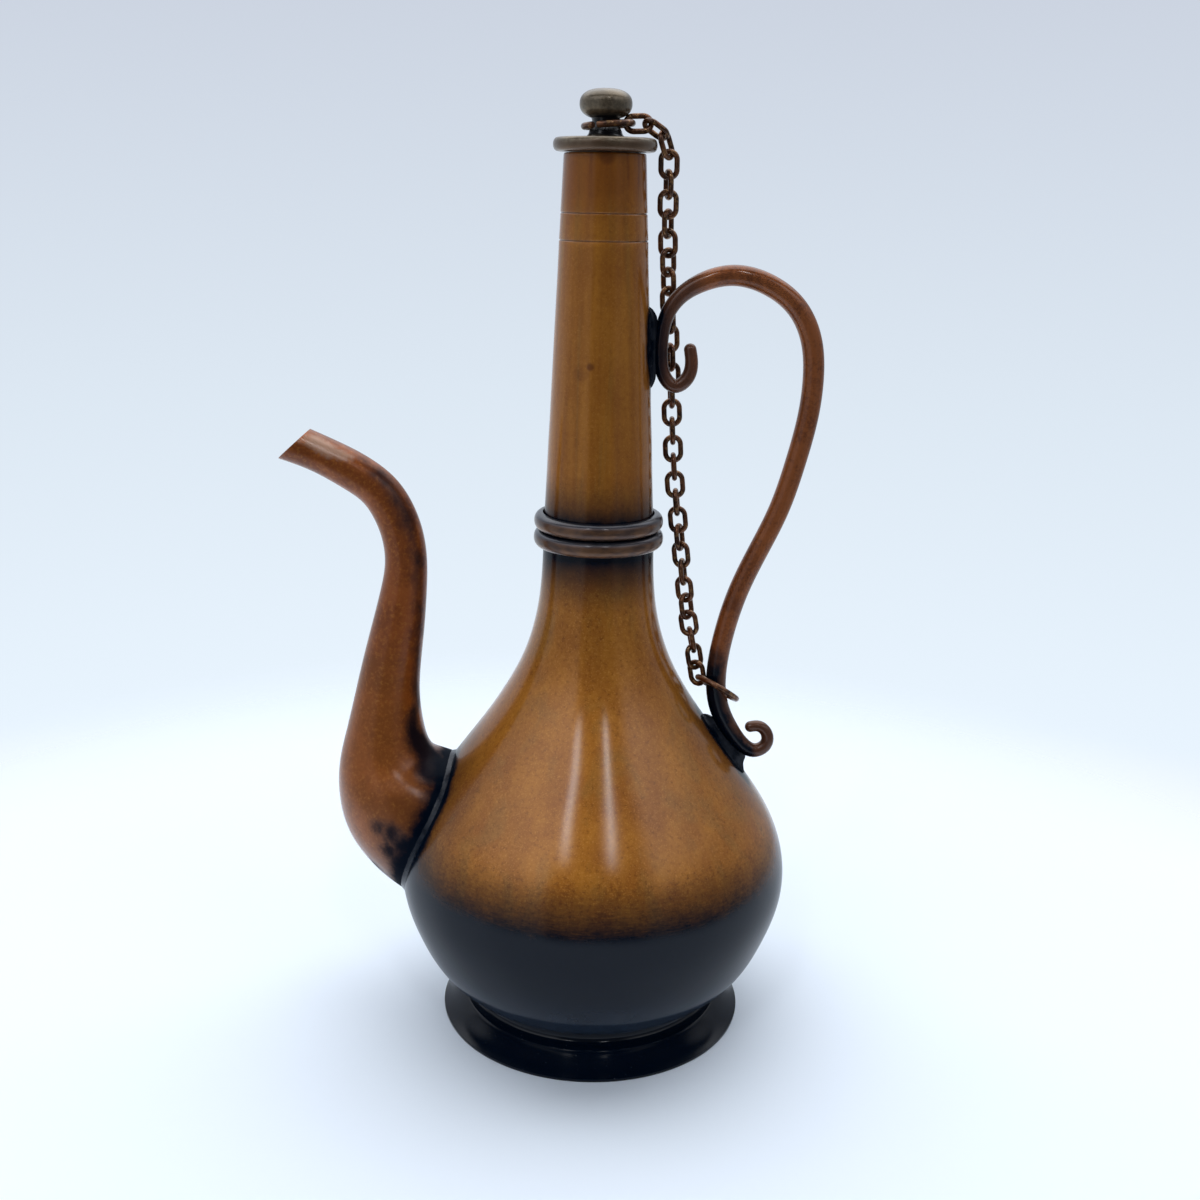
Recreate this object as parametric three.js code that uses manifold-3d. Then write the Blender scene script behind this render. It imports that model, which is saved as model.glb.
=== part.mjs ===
// Copper water jar with a swan-neck spout, a scrolled handle and a lid held by a chain.
// Millimetres, +Z up. The jar is built about its own axis, standing on z = 0, with the spout
// towards -X and the handle towards +X, and is then moved so that its footprint is centred.
import * as THREE from "three";
import { mergeVertices } from "three/addons/utils/BufferGeometryUtils.js";
import Module from "manifold-3d";

const wasm = await Module();
wasm.setup();

// Clearances
const SEAT = 0.3; // between pieces that are soldered or rest on each other
const PLUG_CLEARANCE = 0.35; // round the lid's plug in the mouth
const LINK_CLEARANCE = 0.42; // between the wires of two neighbouring links
const CHAIN_CLEARANCE = 1; // beside the handle's scroll, where the chain hangs behind it

// Sheet and tube walls
const BODY_WALL = 1.3;
const NECK_WALL = 1.2;
const SPOUT_WALL = 1.1;
const FOOT_WALL = 1.4;
const PLUG_WALL = 1;

// Body: it swells from the foot ring to the belly and draws in again to the collar.
// Each swell is a share of the way out to the belly, and the height where it is reached.
const BODY_BOTTOM_R = 29;
const BODY_BOTTOM_Z = 7.8;
const BODY_FOOT_R = 34.2;
const BODY_FOOT_Z = 8.5;
const BELLY_R = 57.85;
const BELLY_Z = 44;
const COLLAR_R = 15.75;
const BODY_TOP_Z = 150.9;
const LOWER_SWELL = [[0.186, 11], [0.545, 18], [0.837, 30]];
const UPPER_SWELL = [[0.947, 59], [0.766, 72.5], [0.51, 87.5], [0.274, 102], [0.11, 116], [0.025, 131]];

// Foot ring: a flared skirt under a narrow band that clasps the body's underside
const FOOT_RIM_R = 45.7;
const FOOT_RIM_WIDTH = 1.6;
const FOOT_RIM_ROUND = 0.35;
const FOOT_EDGE = 0.9;
const FOOT_CREASE_R = 39.5;
const FOOT_CREASE_Z = 6.3;
const FOOT_BAND_R = 36.6;
const FOOT_BAND_Z = 8.1;
const FOOT_BAND_TOP_Z = 12;

// Neck: a straight taper from the seam to the mouth
const NECK_FOOT_R = 15.7;
const NECK_MOUTH_R = 11.06;
const MOUTH_Z = 253.7;
const MOUTH_ROUND = 0.4;
const SPIGOT_LENGTH = 7;
const GROOVE_DROPS = [22.5, 15.4]; // below the mouth
const GROOVE_DEPTH = 0.35;
const GROOVE_WIDTH = 0.7;

// Half-round rings over the seam between body and neck
const RING_HEIGHT = 4.9;
const RING_DEPTH = 2.3;
const LOWER_RING_DROP = 2.3; // from the seam down to the lower ring's middle

// Spout: sections from the lip to the base. Each has its far and its near edge, as the distance
// out from the body's side at the seat's height and the height, and its half width.
const SPOUT_SEAT_Z = 62;
const SPOUT_SECTIONS = [
  { far: [36.5, 170.0], near: [27.4, 178.4], half: 5.3 },
  { far: [30.6, 168.0], near: [24.4, 177.1], half: 5.35 },
  { far: [24.2, 165.1], near: [18.4, 174.4], half: 5.4 },
  { far: [17.5, 161.2], near: [11.2, 170.6], half: 5.5 },
  { far: [12.8, 157.6], near: [4.2, 165.2], half: 5.6 },
  { far: [9.6, 152.4], near: [-1.0, 157.6], half: 5.8 },
  { far: [7.8, 147.0], near: [-3.8, 149.6], half: 5.95 },
  { far: [7.2, 140.6], near: [-4.9, 141.2], half: 6.05 },
  { far: [8.3, 133.6], near: [-4.7, 132.2], half: 6.5 },
  { far: [11.0, 123.2], near: [-3.8, 120.8], half: 7.5 },
  { far: [14.7, 109.4], near: [-2.3, 106.6], half: 8.6 },
  { far: [17.6, 97.6], near: [-2.2, 97.2], half: 9.9 },
  { far: [19.9, 88.5], near: [-3.8, 89.6], half: 11.7 },
  { far: [22.0, 79.5], near: [-7.0, 84.6], half: 14.2 },
  { far: [22.8, 70.0], near: [-12.4, 82.5], half: 17.4 },
  { far: [21.1, 59.0], near: [-18.4, 80.0], half: 19.8 },
  { far: [16.1, 49.5], near: [-23.4, 76.0], half: 21.0 },
  { far: [9.6, 41.5], near: [-27.4, 71.0], half: 21.2 },
  { far: [2.6, 35.0], near: [-30.4, 65.0], half: 20.5 },
];
const BORE_OVERRUN = 1.5; // past the lip, so that the bore's cut is clean

// Handle: points of the rod's centre line, each with the rod's radius there. The upper scroll
// is measured from where the rod lies along the neck, the bow inwards from its furthest reach,
// and the lower scroll outwards from the body's shoulder at the seat's height.
const HANDLE_ROD_R = 2.95;
const SCROLL_ROD_R = 1.95;
const HANDLE_REACH = 58.9;
const HANDLE_WEB = 0.55; // metal between the neck and the upper scroll
const HANDLE_SCROLL_Z = 203;
const HANDLE_SEAT_Z = 88;
const UPPER_SCROLL = [
  [8.0, 202.4, 1.75], [8.5, 198.2, 1.85], [7.2, 194.2, SCROLL_ROD_R], [4.1, 192.3, SCROLL_ROD_R],
  [1.1, 194.9, SCROLL_ROD_R], [0, 199.2, SCROLL_ROD_R], [0, 205, SCROLL_ROD_R],
  [1.2, 211.4, 2.05], [4.9, 216.9, 2.25], [10.2, 220.4, 2.6],
];
const BOW = [
  [-23.3, 222.6, 2.85], [-13.7, 220.3, HANDLE_ROD_R], [-5.7, 214.4, HANDLE_ROD_R],
  [-1.2, 205.7, HANDLE_ROD_R], [0, 195.8, HANDLE_ROD_R], [-0.7, 185.5, HANDLE_ROD_R],
  [-3.6, 171.5, HANDLE_ROD_R], [-7.6, 157.8, HANDLE_ROD_R], [-12.9, 145.6, HANDLE_ROD_R],
  [-18, 133.6, HANDLE_ROD_R],
];
const LOWER_SCROLL = [
  [0.7, 121.8, HANDLE_ROD_R], [-1.1, 111, HANDLE_ROD_R], [-1.2, 103.4, HANDLE_ROD_R],
  [0.5, 96.1, 2.9], [4, 89.8, 2.75], [7.4, 85.9, 2.5], [11.1, 84.3, 2.35], [14.1, 86, 2.25],
  [14.3, 89.4, 2.1], [11.7, 91.6, 2.0], [9.5, 91.4, SCROLL_ROD_R],
];

// Saddle between the neck and the upper scroll: distance out from the neck's side, half width
const SADDLE_LOW_Z = 192.6;
const SADDLE_HIGH_Z = 212.4;
const SADDLE_FLANK = [[-3, 5.2], [-1, 5], [0.9, 4]];
const SADDLE_FACE_HALF = 2.9;
const SADDLE_FACE_INSET = 0.4;

// Pad between the body's shoulder and the lower bend: distance out from the shoulder, height
const PAD_HALF_WIDTH = 2.8;
const PAD_OUTLINE = [
  [-8.9, 95], [-3.7, 96.6], [-1.5, 96.4], [0.3, 92.6], [3.7, 87.2], [7.7, 83.4], [10.5, 81.8],
  [9.3, 77.6], [-0.9, 78],
];

// Lid: heights above the disc's top, apart from the disc's own
const LID_OVERHANG = 2.94;
const LID_DISC_HEIGHT = 4;
const LID_COLLAR_R = 5.4;
const LID_COLLAR_HEIGHT = 1.3;
const STEM_R = 3.4;
const STEM_RISE = 5.2;
const PIN_R = 2;
const PIN_LENGTH = 2.6;
const KNOB_R = 7.15;
const KNOB_HALF_HEIGHT = 3.9;
const KNOB_RISE = 8.1;
const PLUG_LENGTH = 12;
const PLUG_LEAD = 0.5;

// Ring round the lid's stem, open at one side and hanging a little out of level
const LID_RING_R = 6.4;
const LID_RING_WIRE_R = 0.9;
const LID_RING_X = 0.7;
const LID_RING_RISE = 2.9; // above the disc's top
const LID_RING_TILT = -4.5;
const LID_RING_GAP = 12;
const LID_RING_GAP_AT = -122;

// Chain: oval wire links that hang in three stretches. The first is measured out from the lid
// disc's edge and up from its top, the last out from the body's shoulder at the handle's seat.
const LINK_LENGTH = 8.1;
const LINK_WIDTH = 5.7;
const LINK_WIRE_R = 0.63;
const CHAIN_BEHIND = SCROLL_ROD_R + LINK_WIDTH / 2 + CHAIN_CLEARANCE;
const CHAIN_OVER_LID = [[-3.1, 0.3, 3.5], [1.3, 1.0, 0.8], [3.1, 1.7, -4.2], [3.2, 2.5, -9.4]];
const CHAIN_DROP = [
  [17.4, 4.2, 236], [18.1, CHAIN_BEHIND, 221], [19.1, CHAIN_BEHIND, 203],
  [20.2, CHAIN_BEHIND, 184], [21.3, CHAIN_BEHIND, 168], [22.8, 5.2, 154], [24.5, 4.5, 140],
];
const CHAIN_FOOT = [[-10.5, 3.8, 126], [-8.1, 3.2, 113.5], [-5.8, 2.75, 101.2]];
// How far a link stands off the plain quarter turn from its neighbour, in degrees, against
// its number from the lid and, lower down, its number from the last link
const DRIFT_FROM_LID = [
  [1, -25], [2, -31], [3, -58], [4, -80], [5, -105], [6, -85], [7, -63], [8, -65], [9, -43],
  [17, 0],
];
const DRIFT_FROM_FOOT = [[0, -57], [2, -7], [4, 40], [5, 30], [6, 14], [7, 30], [11, 0]];

// Ring that slides on the rod at the chain's lower end, held by the last link
const HANDLE_RING_R = 6.5;
const HANDLE_RING_WIRE_R = 0.75;
const HANDLE_RING_SLOPE = 31;
const HANDLE_RING_HOOK = 155;

// Fineness of the surfaces
const BODY_SEGMENTS = 40;
const BODY_STEPS = 20;
const NECK_SEGMENTS = 36;
const NECK_RING_STEPS = 6;
const SPOUT_SIDES = 16;
const SPOUT_RINGS = 28;
const HANDLE_SIDES = 10;
const HANDLE_RINGS = 60;
const KNOB_SEGMENTS = 28;
const KNOB_STEPS = 10;
const RING_SIDES = 8;
const RING_STEPS = 28;
const LINK_SIDES = 6;
const LINK_STEPS = 14;

// Finishes
const finish = (color, roughness, metalness) => () =>
  new THREE.MeshStandardMaterial({ color, roughness, metalness });
const amber = finish(0x8a5a30, 0.28, 0.85);
const blackened = finish(0x1d2024, 0.4, 0.5);
const reddish = finish(0x6b4433, 0.35, 0.85);
const bronze = finish(0x5f594b, 0.4, 0.8);
const darkWire = finish(0x4a3226, 0.45, 0.85);

const { degToRad, lerp, mapLinear } = THREE.MathUtils;

// Turns a closed three.js geometry into a solid, whichever way its faces were wound
function solidOf(geometry) {
  const bare = geometry.clone();
  bare.deleteAttribute("normal");
  bare.deleteAttribute("uv");
  const merged = mergeVertices(bare, 1e-4);
  const vertProperties = Float32Array.from(merged.getAttribute("position").array);
  const triVerts = Uint32Array.from(merged.getIndex().array);
  const build = () => new wasm.Manifold(new wasm.Mesh({ numProp: 3, vertProperties, triVerts }));
  const solid = build();
  if (solid.volume() > 0) return solid;
  for (let i = 0; i < triVerts.length; i += 3) {
    [triVerts[i + 1], triVerts[i + 2]] = [triVerts[i + 2], triVerts[i + 1]];
  }
  return build();
}

// Turns a solid back into a three.js geometry
function geometryOf(solid) {
  const { numVert, numProp, vertProperties, triVerts } = solid.getMesh();
  const positions = new Float32Array(numVert * 3);
  for (let i = 0; i < numVert; i += 1) {
    for (let k = 0; k < 3; k += 1) positions[3 * i + k] = vertProperties[numProp * i + k];
  }
  const geometry = new THREE.BufferGeometry();
  geometry.setAttribute("position", new THREE.BufferAttribute(positions, 3));
  geometry.setIndex(new THREE.BufferAttribute(Uint32Array.from(triVerts), 1));
  geometry.computeVertexNormals();
  return geometry;
}

function meshOf(name, solid, look) {
  const mesh = new THREE.Mesh(geometryOf(solid), look());
  mesh.name = name;
  return mesh;
}

// A solid of revolution about Z from an outline of [radius, height] points, which starts and
// ends on the axis or closes on itself
function turned(outline, segments) {
  const points = outline.map(([r, z]) => new THREE.Vector2(r, z));
  const onAxis = points[0].x === 0 && points.at(-1).x === 0;
  if (!onAxis) points.push(points[0].clone());
  const geometry = new THREE.LatheGeometry(points, segments);
  geometry.rotateX(Math.PI / 2);
  return solidOf(geometry);
}

// A solid between two heights or depths from an outline of pairs
function extruded(outline, depth) {
  const shape = new THREE.Shape(outline.map(([a, b]) => new THREE.Vector2(a, b)));
  return new THREE.ExtrudeGeometry(shape, { depth, bevelEnabled: false });
}

// A skin over rings of equal count: its ends are capped, or the last ring joins the first
function skinOf(rings, closed = false) {
  const sides = rings[0].length;
  const index = [];
  const spans = closed ? rings.length : rings.length - 1;
  for (let k = 0; k < spans; k += 1) {
    const here = k * sides;
    const next = ((k + 1) % rings.length) * sides;
    for (let i = 0; i < sides; i += 1) {
      const j = (i + 1) % sides;
      index.push(here + i, here + j, next + i, here + j, next + j, next + i);
    }
  }
  const last = (rings.length - 1) * sides;
  for (let i = 1; !closed && i + 1 < sides; i += 1) {
    index.push(0, i + 1, i);
    index.push(last, last + i, last + i + 1);
  }
  const positions = rings.flat().flatMap((p) => [p.x, p.y, p.z]);
  const geometry = new THREE.BufferGeometry();
  geometry.setAttribute("position", new THREE.Float32BufferAttribute(positions, 3));
  geometry.setIndex(index);
  return solidOf(geometry);
}

// A ring of points round a centre, spanned by two half axes
function ringOf(centre, across, side, count, phase = 0) {
  const ring = [];
  for (let i = 0; i < count; i += 1) {
    const a = (2 * Math.PI * (i + phase)) / count;
    const p = centre.clone();
    ring.push(p.addScaledVector(across, Math.cos(a)).addScaledVector(side, Math.sin(a)));
  }
  return ring;
}

// The body's outline as a smooth curve of radius against height
const bodyCurve = new THREE.SplineCurve(
  [
    [BODY_FOOT_R, BODY_FOOT_Z],
    ...LOWER_SWELL.map(([share, z]) => [lerp(BODY_FOOT_R, BELLY_R, share), z]),
    [BELLY_R, BELLY_Z],
    ...UPPER_SWELL.map(([share, z]) => [lerp(COLLAR_R, BELLY_R, share), z]),
    [COLLAR_R, BODY_TOP_Z],
  ].map(([r, z]) => new THREE.Vector2(r, z)),
);

// The same outline moved outwards by an offset
function bodyOutline(offset) {
  const points = [];
  for (let i = 0; i <= BODY_STEPS; i += 1) {
    const p = bodyCurve.getPointAt(i / BODY_STEPS);
    const t = bodyCurve.getTangentAt(i / BODY_STEPS);
    points.push([p.x + offset * t.y, p.y - offset * t.x]);
  }
  return points;
}

// The body's outer radius at a height
function bodyRadius(z) {
  const points = bodyCurve.getPoints(240);
  const above = points.findIndex((p) => p.y >= z);
  const low = points[above - 1];
  const high = points[above];
  return mapLinear(z, low.y, high.y, low.x, high.x);
}

// The closed outer form of the body, grown by an offset, for cutting what seats on it
function bodyForm(offset) {
  const wall = bodyOutline(offset);
  const floor = BODY_BOTTOM_Z - offset;
  return turned([[0, floor], [BODY_BOTTOM_R, floor], ...wall, [0, wall.at(-1)[1]]], BODY_SEGMENTS);
}

function neckRadius(z) {
  return mapLinear(z, BODY_TOP_Z, MOUTH_Z, NECK_FOOT_R, NECK_MOUTH_R);
}

// The closed outer form of the neck, grown by an offset
function neckForm(offset) {
  const low = [neckRadius(BODY_TOP_Z) + offset, BODY_TOP_Z];
  const high = [neckRadius(MOUTH_Z) + offset, MOUTH_Z];
  return turned([[0, BODY_TOP_Z], low, high, [0, MOUTH_Z]], NECK_SEGMENTS);
}

// Foot ring, cut to the body's underside
function footRing() {
  const rimInner = FOOT_RIM_R - FOOT_RIM_WIDTH;
  const bandInner = FOOT_BAND_R - FOOT_WALL;
  const skirt = (outward, upward) => [
    lerp(FOOT_RIM_R, FOOT_CREASE_R, outward),
    lerp(FOOT_EDGE, FOOT_CREASE_Z, upward),
  ];
  const outline = [
    [rimInner + FOOT_RIM_ROUND, 0], [FOOT_RIM_R - FOOT_RIM_ROUND, 0],
    [FOOT_RIM_R, FOOT_RIM_ROUND], [FOOT_RIM_R, FOOT_EDGE], skirt(0.26, 0.24), skirt(0.68, 0.65),
    [FOOT_CREASE_R, FOOT_CREASE_Z], [lerp(FOOT_BAND_R, FOOT_CREASE_R, 0.35), FOOT_CREASE_Z + 0.7],
    [FOOT_BAND_R, FOOT_BAND_Z], [FOOT_BAND_R, FOOT_BAND_TOP_Z], [bandInner, FOOT_BAND_TOP_Z],
    [bandInner, FOOT_CREASE_Z], [FOOT_CREASE_R - 1, FOOT_CREASE_Z - FOOT_WALL],
    [rimInner - FOOT_RIM_ROUND, FOOT_EDGE],
  ];
  return turned(outline, BODY_SEGMENTS).subtract(bodyForm(SEAT));
}

// Spout: a skin through the sections, drawn in by the wall where it makes the bore
const spoutX = -bodyRadius(SPOUT_SEAT_Z);
function spoutForm(wall, overrun) {
  const edge = (key) =>
    new THREE.CatmullRomCurve3(
      SPOUT_SECTIONS.map((s) => new THREE.Vector3(spoutX - s[key][0], s.half, s[key][1])),
    );
  const far = edge("far");
  const near = edge("near");
  const rings = [];
  for (let k = 0; k <= SPOUT_RINGS; k += 1) {
    const a = far.getPoint(k / SPOUT_RINGS);
    const b = near.getPoint(k / SPOUT_RINGS);
    const centre = a.clone().add(b).multiplyScalar(0.5).setY(0);
    const across = b.clone().sub(a).multiplyScalar(0.5).setY(0);
    across.setLength(across.length() - wall);
    rings.push(ringOf(centre, across, new THREE.Vector3(0, a.y - wall, 0), SPOUT_SIDES));
  }
  if (overrun > 0) {
    const past = (p, i) => p.clone().sub(rings[1][i]).setLength(overrun).add(p);
    rings.unshift(rings[0].map(past));
  }
  return skinOf(rings);
}

const spoutBore = spoutForm(SPOUT_WALL, BORE_OVERRUN);

function spoutTube() {
  return spoutForm(0, 0).subtract(spoutBore).subtract(bodyForm(SEAT));
}

// Body: a raised shell with a hole where the spout opens into it
function bodyShell() {
  const floor = BODY_BOTTOM_Z + BODY_WALL;
  const outer = bodyOutline(0);
  const inner = bodyOutline(-BODY_WALL).reverse();
  const outline = [[0, BODY_BOTTOM_Z], [BODY_BOTTOM_R, BODY_BOTTOM_Z], ...outer, ...inner];
  outline.push([BODY_BOTTOM_R, floor], [0, floor]);
  return turned(outline, BODY_SEGMENTS).subtract(spoutBore);
}

// Neck: a tapered tube with two incised lines and a spigot that enters the body's collar
function neckTube() {
  const low = BODY_TOP_Z + SEAT;
  const spigot = COLLAR_R - BODY_WALL - SEAT;
  const spigotZ = BODY_TOP_Z - SPIGOT_LENGTH;
  const outline = [[spigot, spigotZ], [spigot, low], [neckRadius(low), low]];
  for (const drop of GROOVE_DROPS) {
    const z = MOUTH_Z - drop;
    const half = GROOVE_WIDTH / 2;
    outline.push([neckRadius(z - half), z - half], [neckRadius(z) - GROOVE_DEPTH, z]);
    outline.push([neckRadius(z + half), z + half]);
  }
  outline.push([neckRadius(MOUTH_Z - MOUTH_ROUND), MOUTH_Z - MOUTH_ROUND]);
  outline.push([NECK_MOUTH_R - MOUTH_ROUND, MOUTH_Z], [NECK_MOUTH_R - NECK_WALL, MOUTH_Z]);
  outline.push([spigot - NECK_WALL, low + NECK_WALL], [spigot - NECK_WALL, spigotZ]);
  return turned(outline, NECK_SEGMENTS);
}

// A half-round ring whose bore clears the wider of the neck and the collar at its lower edge,
// also in the middle of the flats that a turned form has
function neckRing(z) {
  const low = z - RING_HEIGHT / 2;
  const widest = low < BODY_TOP_Z ? bodyRadius(low) : neckRadius(low);
  const bore = (widest + SEAT) / Math.cos(Math.PI / NECK_SEGMENTS);
  const outline = [];
  for (let i = 0; i <= NECK_RING_STEPS; i += 1) {
    const a = Math.PI * (i / NECK_RING_STEPS - 0.5);
    outline.push([bore + RING_DEPTH * Math.cos(a), z + (RING_HEIGHT / 2) * Math.sin(a)]);
  }
  return turned(outline, NECK_SEGMENTS);
}

// Handle: one rod, scrolled at both ends and thinner there, with rounded tips
const scrollX = neckRadius(HANDLE_SCROLL_Z) + 2 * SEAT + HANDLE_WEB + SCROLL_ROD_R;
const shoulderX = bodyRadius(HANDLE_SEAT_Z);
function handleForm(grow) {
  const placed = (points, x) => points.map(([dx, z, r]) => new THREE.Vector3(x + dx, r, z));
  const line = new THREE.CatmullRomCurve3(
    [
      ...placed(UPPER_SCROLL, scrollX),
      ...placed(BOW, HANDLE_REACH),
      ...placed(LOWER_SCROLL, shoulderX),
    ],
    false,
    "centripetal",
  );
  const ringAt = (share, size, forward) => {
    const p = line.getPointAt(share);
    const t = line.getTangentAt(share).setY(0).normalize();
    const radius = (p.y + grow) * size;
    const out = new THREE.Vector3(t.z, 0, -t.x).multiplyScalar(radius);
    const centre = p.clone().setY(0).addScaledVector(t, (p.y + grow) * forward);
    return ringOf(centre, out, new THREE.Vector3(0, radius, 0), HANDLE_SIDES);
  };
  const rings = [];
  for (let k = 0; k <= HANDLE_RINGS; k += 1) rings.push(ringAt(k / HANDLE_RINGS, 1, 0));
  for (const size of [0.85, 0.5]) {
    const bulge = Math.sqrt(1 - size * size);
    rings.unshift(ringAt(0, size, -bulge));
    rings.push(ringAt(1, size, bulge));
  }
  return skinOf(rings);
}

const handleEnvelope = handleForm(SEAT);

// The saddle that joins the upper scroll to the neck
function upperBracket() {
  const side = neckRadius(HANDLE_SCROLL_Z);
  const flank = SADDLE_FLANK.map(([out, half]) => [side + out, half]);
  flank.push([scrollX - SADDLE_FACE_INSET, SADDLE_FACE_HALF]);
  const mirrored = flank.map(([x, y]) => [x, -y]).reverse();
  const block = extruded([...flank, ...mirrored], SADDLE_HIGH_Z - SADDLE_LOW_Z);
  block.translate(0, 0, SADDLE_LOW_Z);
  return solidOf(block).subtract(neckForm(SEAT)).subtract(handleEnvelope);
}

// The pad that joins the lower bend to the body's shoulder
function lowerBracket() {
  const plate = extruded(PAD_OUTLINE.map(([dx, z]) => [shoulderX + dx, z]), 2 * PAD_HALF_WIDTH);
  plate.rotateX(Math.PI / 2);
  plate.translate(0, PAD_HALF_WIDTH, 0);
  return solidOf(plate).subtract(bodyForm(SEAT)).subtract(handleEnvelope);
}

// Lid
const lidDiscR = NECK_MOUTH_R + LID_OVERHANG;
const lidLowZ = MOUTH_Z + SEAT;
const lidTopZ = lidLowZ + LID_DISC_HEIGHT;
const lidCollarZ = lidTopZ + LID_COLLAR_HEIGHT;

// The disc has a half-round edge, a collar with a hollowed side, and a blind hole for the pin
function lidDisc() {
  const edgeR = LID_DISC_HEIGHT / 2;
  const hole = PIN_R + SEAT;
  const holeZ = lidCollarZ - PIN_LENGTH - SEAT;
  const outline = [[0, lidLowZ]];
  for (let i = 0; i <= 8; i += 1) {
    const a = Math.PI * (i / 8 - 0.5);
    outline.push([lidDiscR - edgeR + edgeR * Math.cos(a), lidLowZ + edgeR + edgeR * Math.sin(a)]);
  }
  outline.push([LID_COLLAR_R, lidTopZ], [LID_COLLAR_R - 0.7, lerp(lidTopZ, lidCollarZ, 0.4)]);
  outline.push([LID_COLLAR_R - 1.1, lidCollarZ], [hole, lidCollarZ], [hole, holeZ], [0, holeZ]);
  return turned(outline, NECK_SEGMENTS);
}

// The knob with its stem, and the pin under it
function lidKnob() {
  const low = lidCollarZ + SEAT;
  const lowest = degToRad(-58);
  const outline = [[0, low - PIN_LENGTH], [PIN_R, low - PIN_LENGTH], [PIN_R, low], [STEM_R, low]];
  outline.push([STEM_R, lidTopZ + STEM_RISE - 0.4]);
  for (let i = 0; i < KNOB_STEPS; i += 1) {
    const a = lerp(lowest, Math.PI / 2, i / KNOB_STEPS);
    outline.push([KNOB_R * Math.cos(a), lidTopZ + KNOB_RISE + KNOB_HALF_HEIGHT * Math.sin(a)]);
  }
  outline.push([0, lidTopZ + KNOB_RISE + KNOB_HALF_HEIGHT]);
  return turned(outline, KNOB_SEGMENTS);
}

// The sleeve under the disc that enters the mouth
function lidPlug() {
  const outer = NECK_MOUTH_R - NECK_WALL - PLUG_CLEARANCE;
  const top = lidLowZ - SEAT;
  const low = top - PLUG_LENGTH;
  const inner = outer - PLUG_WALL;
  return turned(
    [[inner, low], [outer - PLUG_LEAD, low], [outer, low + PLUG_LEAD], [outer, top], [inner, top]],
    NECK_SEGMENTS,
  );
}

// A round wire along a flat path, which closes on itself or has two cut ends
function wireAlong(path, wireRadius, sides, steps, closed) {
  const rings = [];
  for (let k = 0; k < (closed ? steps : steps + 1); k += 1) {
    const p = path(k / steps);
    const t = path(k / steps + 1e-4).sub(p).normalize();
    const out = new THREE.Vector3(t.y, -t.x, 0).multiplyScalar(wireRadius);
    rings.push(ringOf(p, out, new THREE.Vector3(0, 0, wireRadius), sides, 0.5));
  }
  return skinOf(rings, closed);
}

function circlePath(radius, from, sweep) {
  return (share) => {
    const a = from + sweep * share;
    return new THREE.Vector3(radius * Math.cos(a), radius * Math.sin(a), 0);
  };
}

function lidRing() {
  const from = degToRad(LID_RING_GAP_AT + LID_RING_GAP / 2);
  const path = circlePath(LID_RING_R, from, degToRad(360 - LID_RING_GAP));
  const wire = wireAlong(path, LID_RING_WIRE_R, RING_SIDES, RING_STEPS, false);
  const mesh = meshOf("lid_ring", wire, darkWire);
  mesh.position.set(LID_RING_X, 0, lidTopZ + LID_RING_RISE);
  mesh.rotation.y = degToRad(LID_RING_TILT);
  return mesh;
}

// A link's outline: two straight sides joined by half circles, its length along X. Each half
// of the way round is one step along a straight side and the other steps round the bend.
function linkPath(share) {
  const bend = LINK_WIDTH / 2 - LINK_WIRE_R;
  const straight = LINK_LENGTH - LINK_WIDTH;
  const step = (((2 * share) % 1) * LINK_STEPS) / 2;
  const point = new THREE.Vector3(straight * (step - 0.5), -bend, 0);
  if (step > 1) {
    const a = mapLinear(step, 1, LINK_STEPS / 2, -Math.PI / 2, Math.PI / 2);
    point.set(straight / 2 + bend * Math.cos(a), bend * Math.sin(a), 0);
  }
  return share % 1 < 0.5 ? point : point.negate();
}

// The points where neighbouring links meet: equal steps marched along the chain's route, from
// the wire of the lid's ring to the wire of the handle's ring
function chainJoints() {
  const tilt = degToRad(LID_RING_TILT);
  const back = LID_RING_WIRE_R + SEAT - LINK_CLEARANCE / 2;
  const start = new THREE.Vector3(
    LID_RING_X + LID_RING_R * Math.cos(tilt) - back,
    0,
    lidTopZ + LID_RING_RISE - LID_RING_R * Math.sin(tilt) - 0.2,
  );
  const placed = (points, x, z) => points.map((p) => new THREE.Vector3(x + p[0], p[1], z + p[2]));
  const route = new THREE.CatmullRomCurve3(
    [
      start,
      ...placed(CHAIN_OVER_LID, lidDiscR, lidTopZ),
      ...placed(CHAIN_DROP, 0, 0),
      ...placed(CHAIN_FOOT, shoulderX, 0),
    ],
    false,
    "centripetal",
  );
  const pitch = LINK_LENGTH - 4 * LINK_WIRE_R - LINK_CLEARANCE;
  const joints = [start];
  for (const p of route.getPoints(6000)) {
    if (p.distanceTo(joints.at(-1)) >= pitch) joints.push(p);
  }
  return joints;
}

// A value read between the pairs of a table, which is level past its ends
function between(table, at) {
  const next = table.findIndex(([key]) => key >= at);
  if (next === 0) return table[0][1];
  if (next < 0) return table.at(-1)[1];
  return mapLinear(at, table[next - 1][0], table[next][0], table[next - 1][1], table[next][1]);
}

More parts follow.
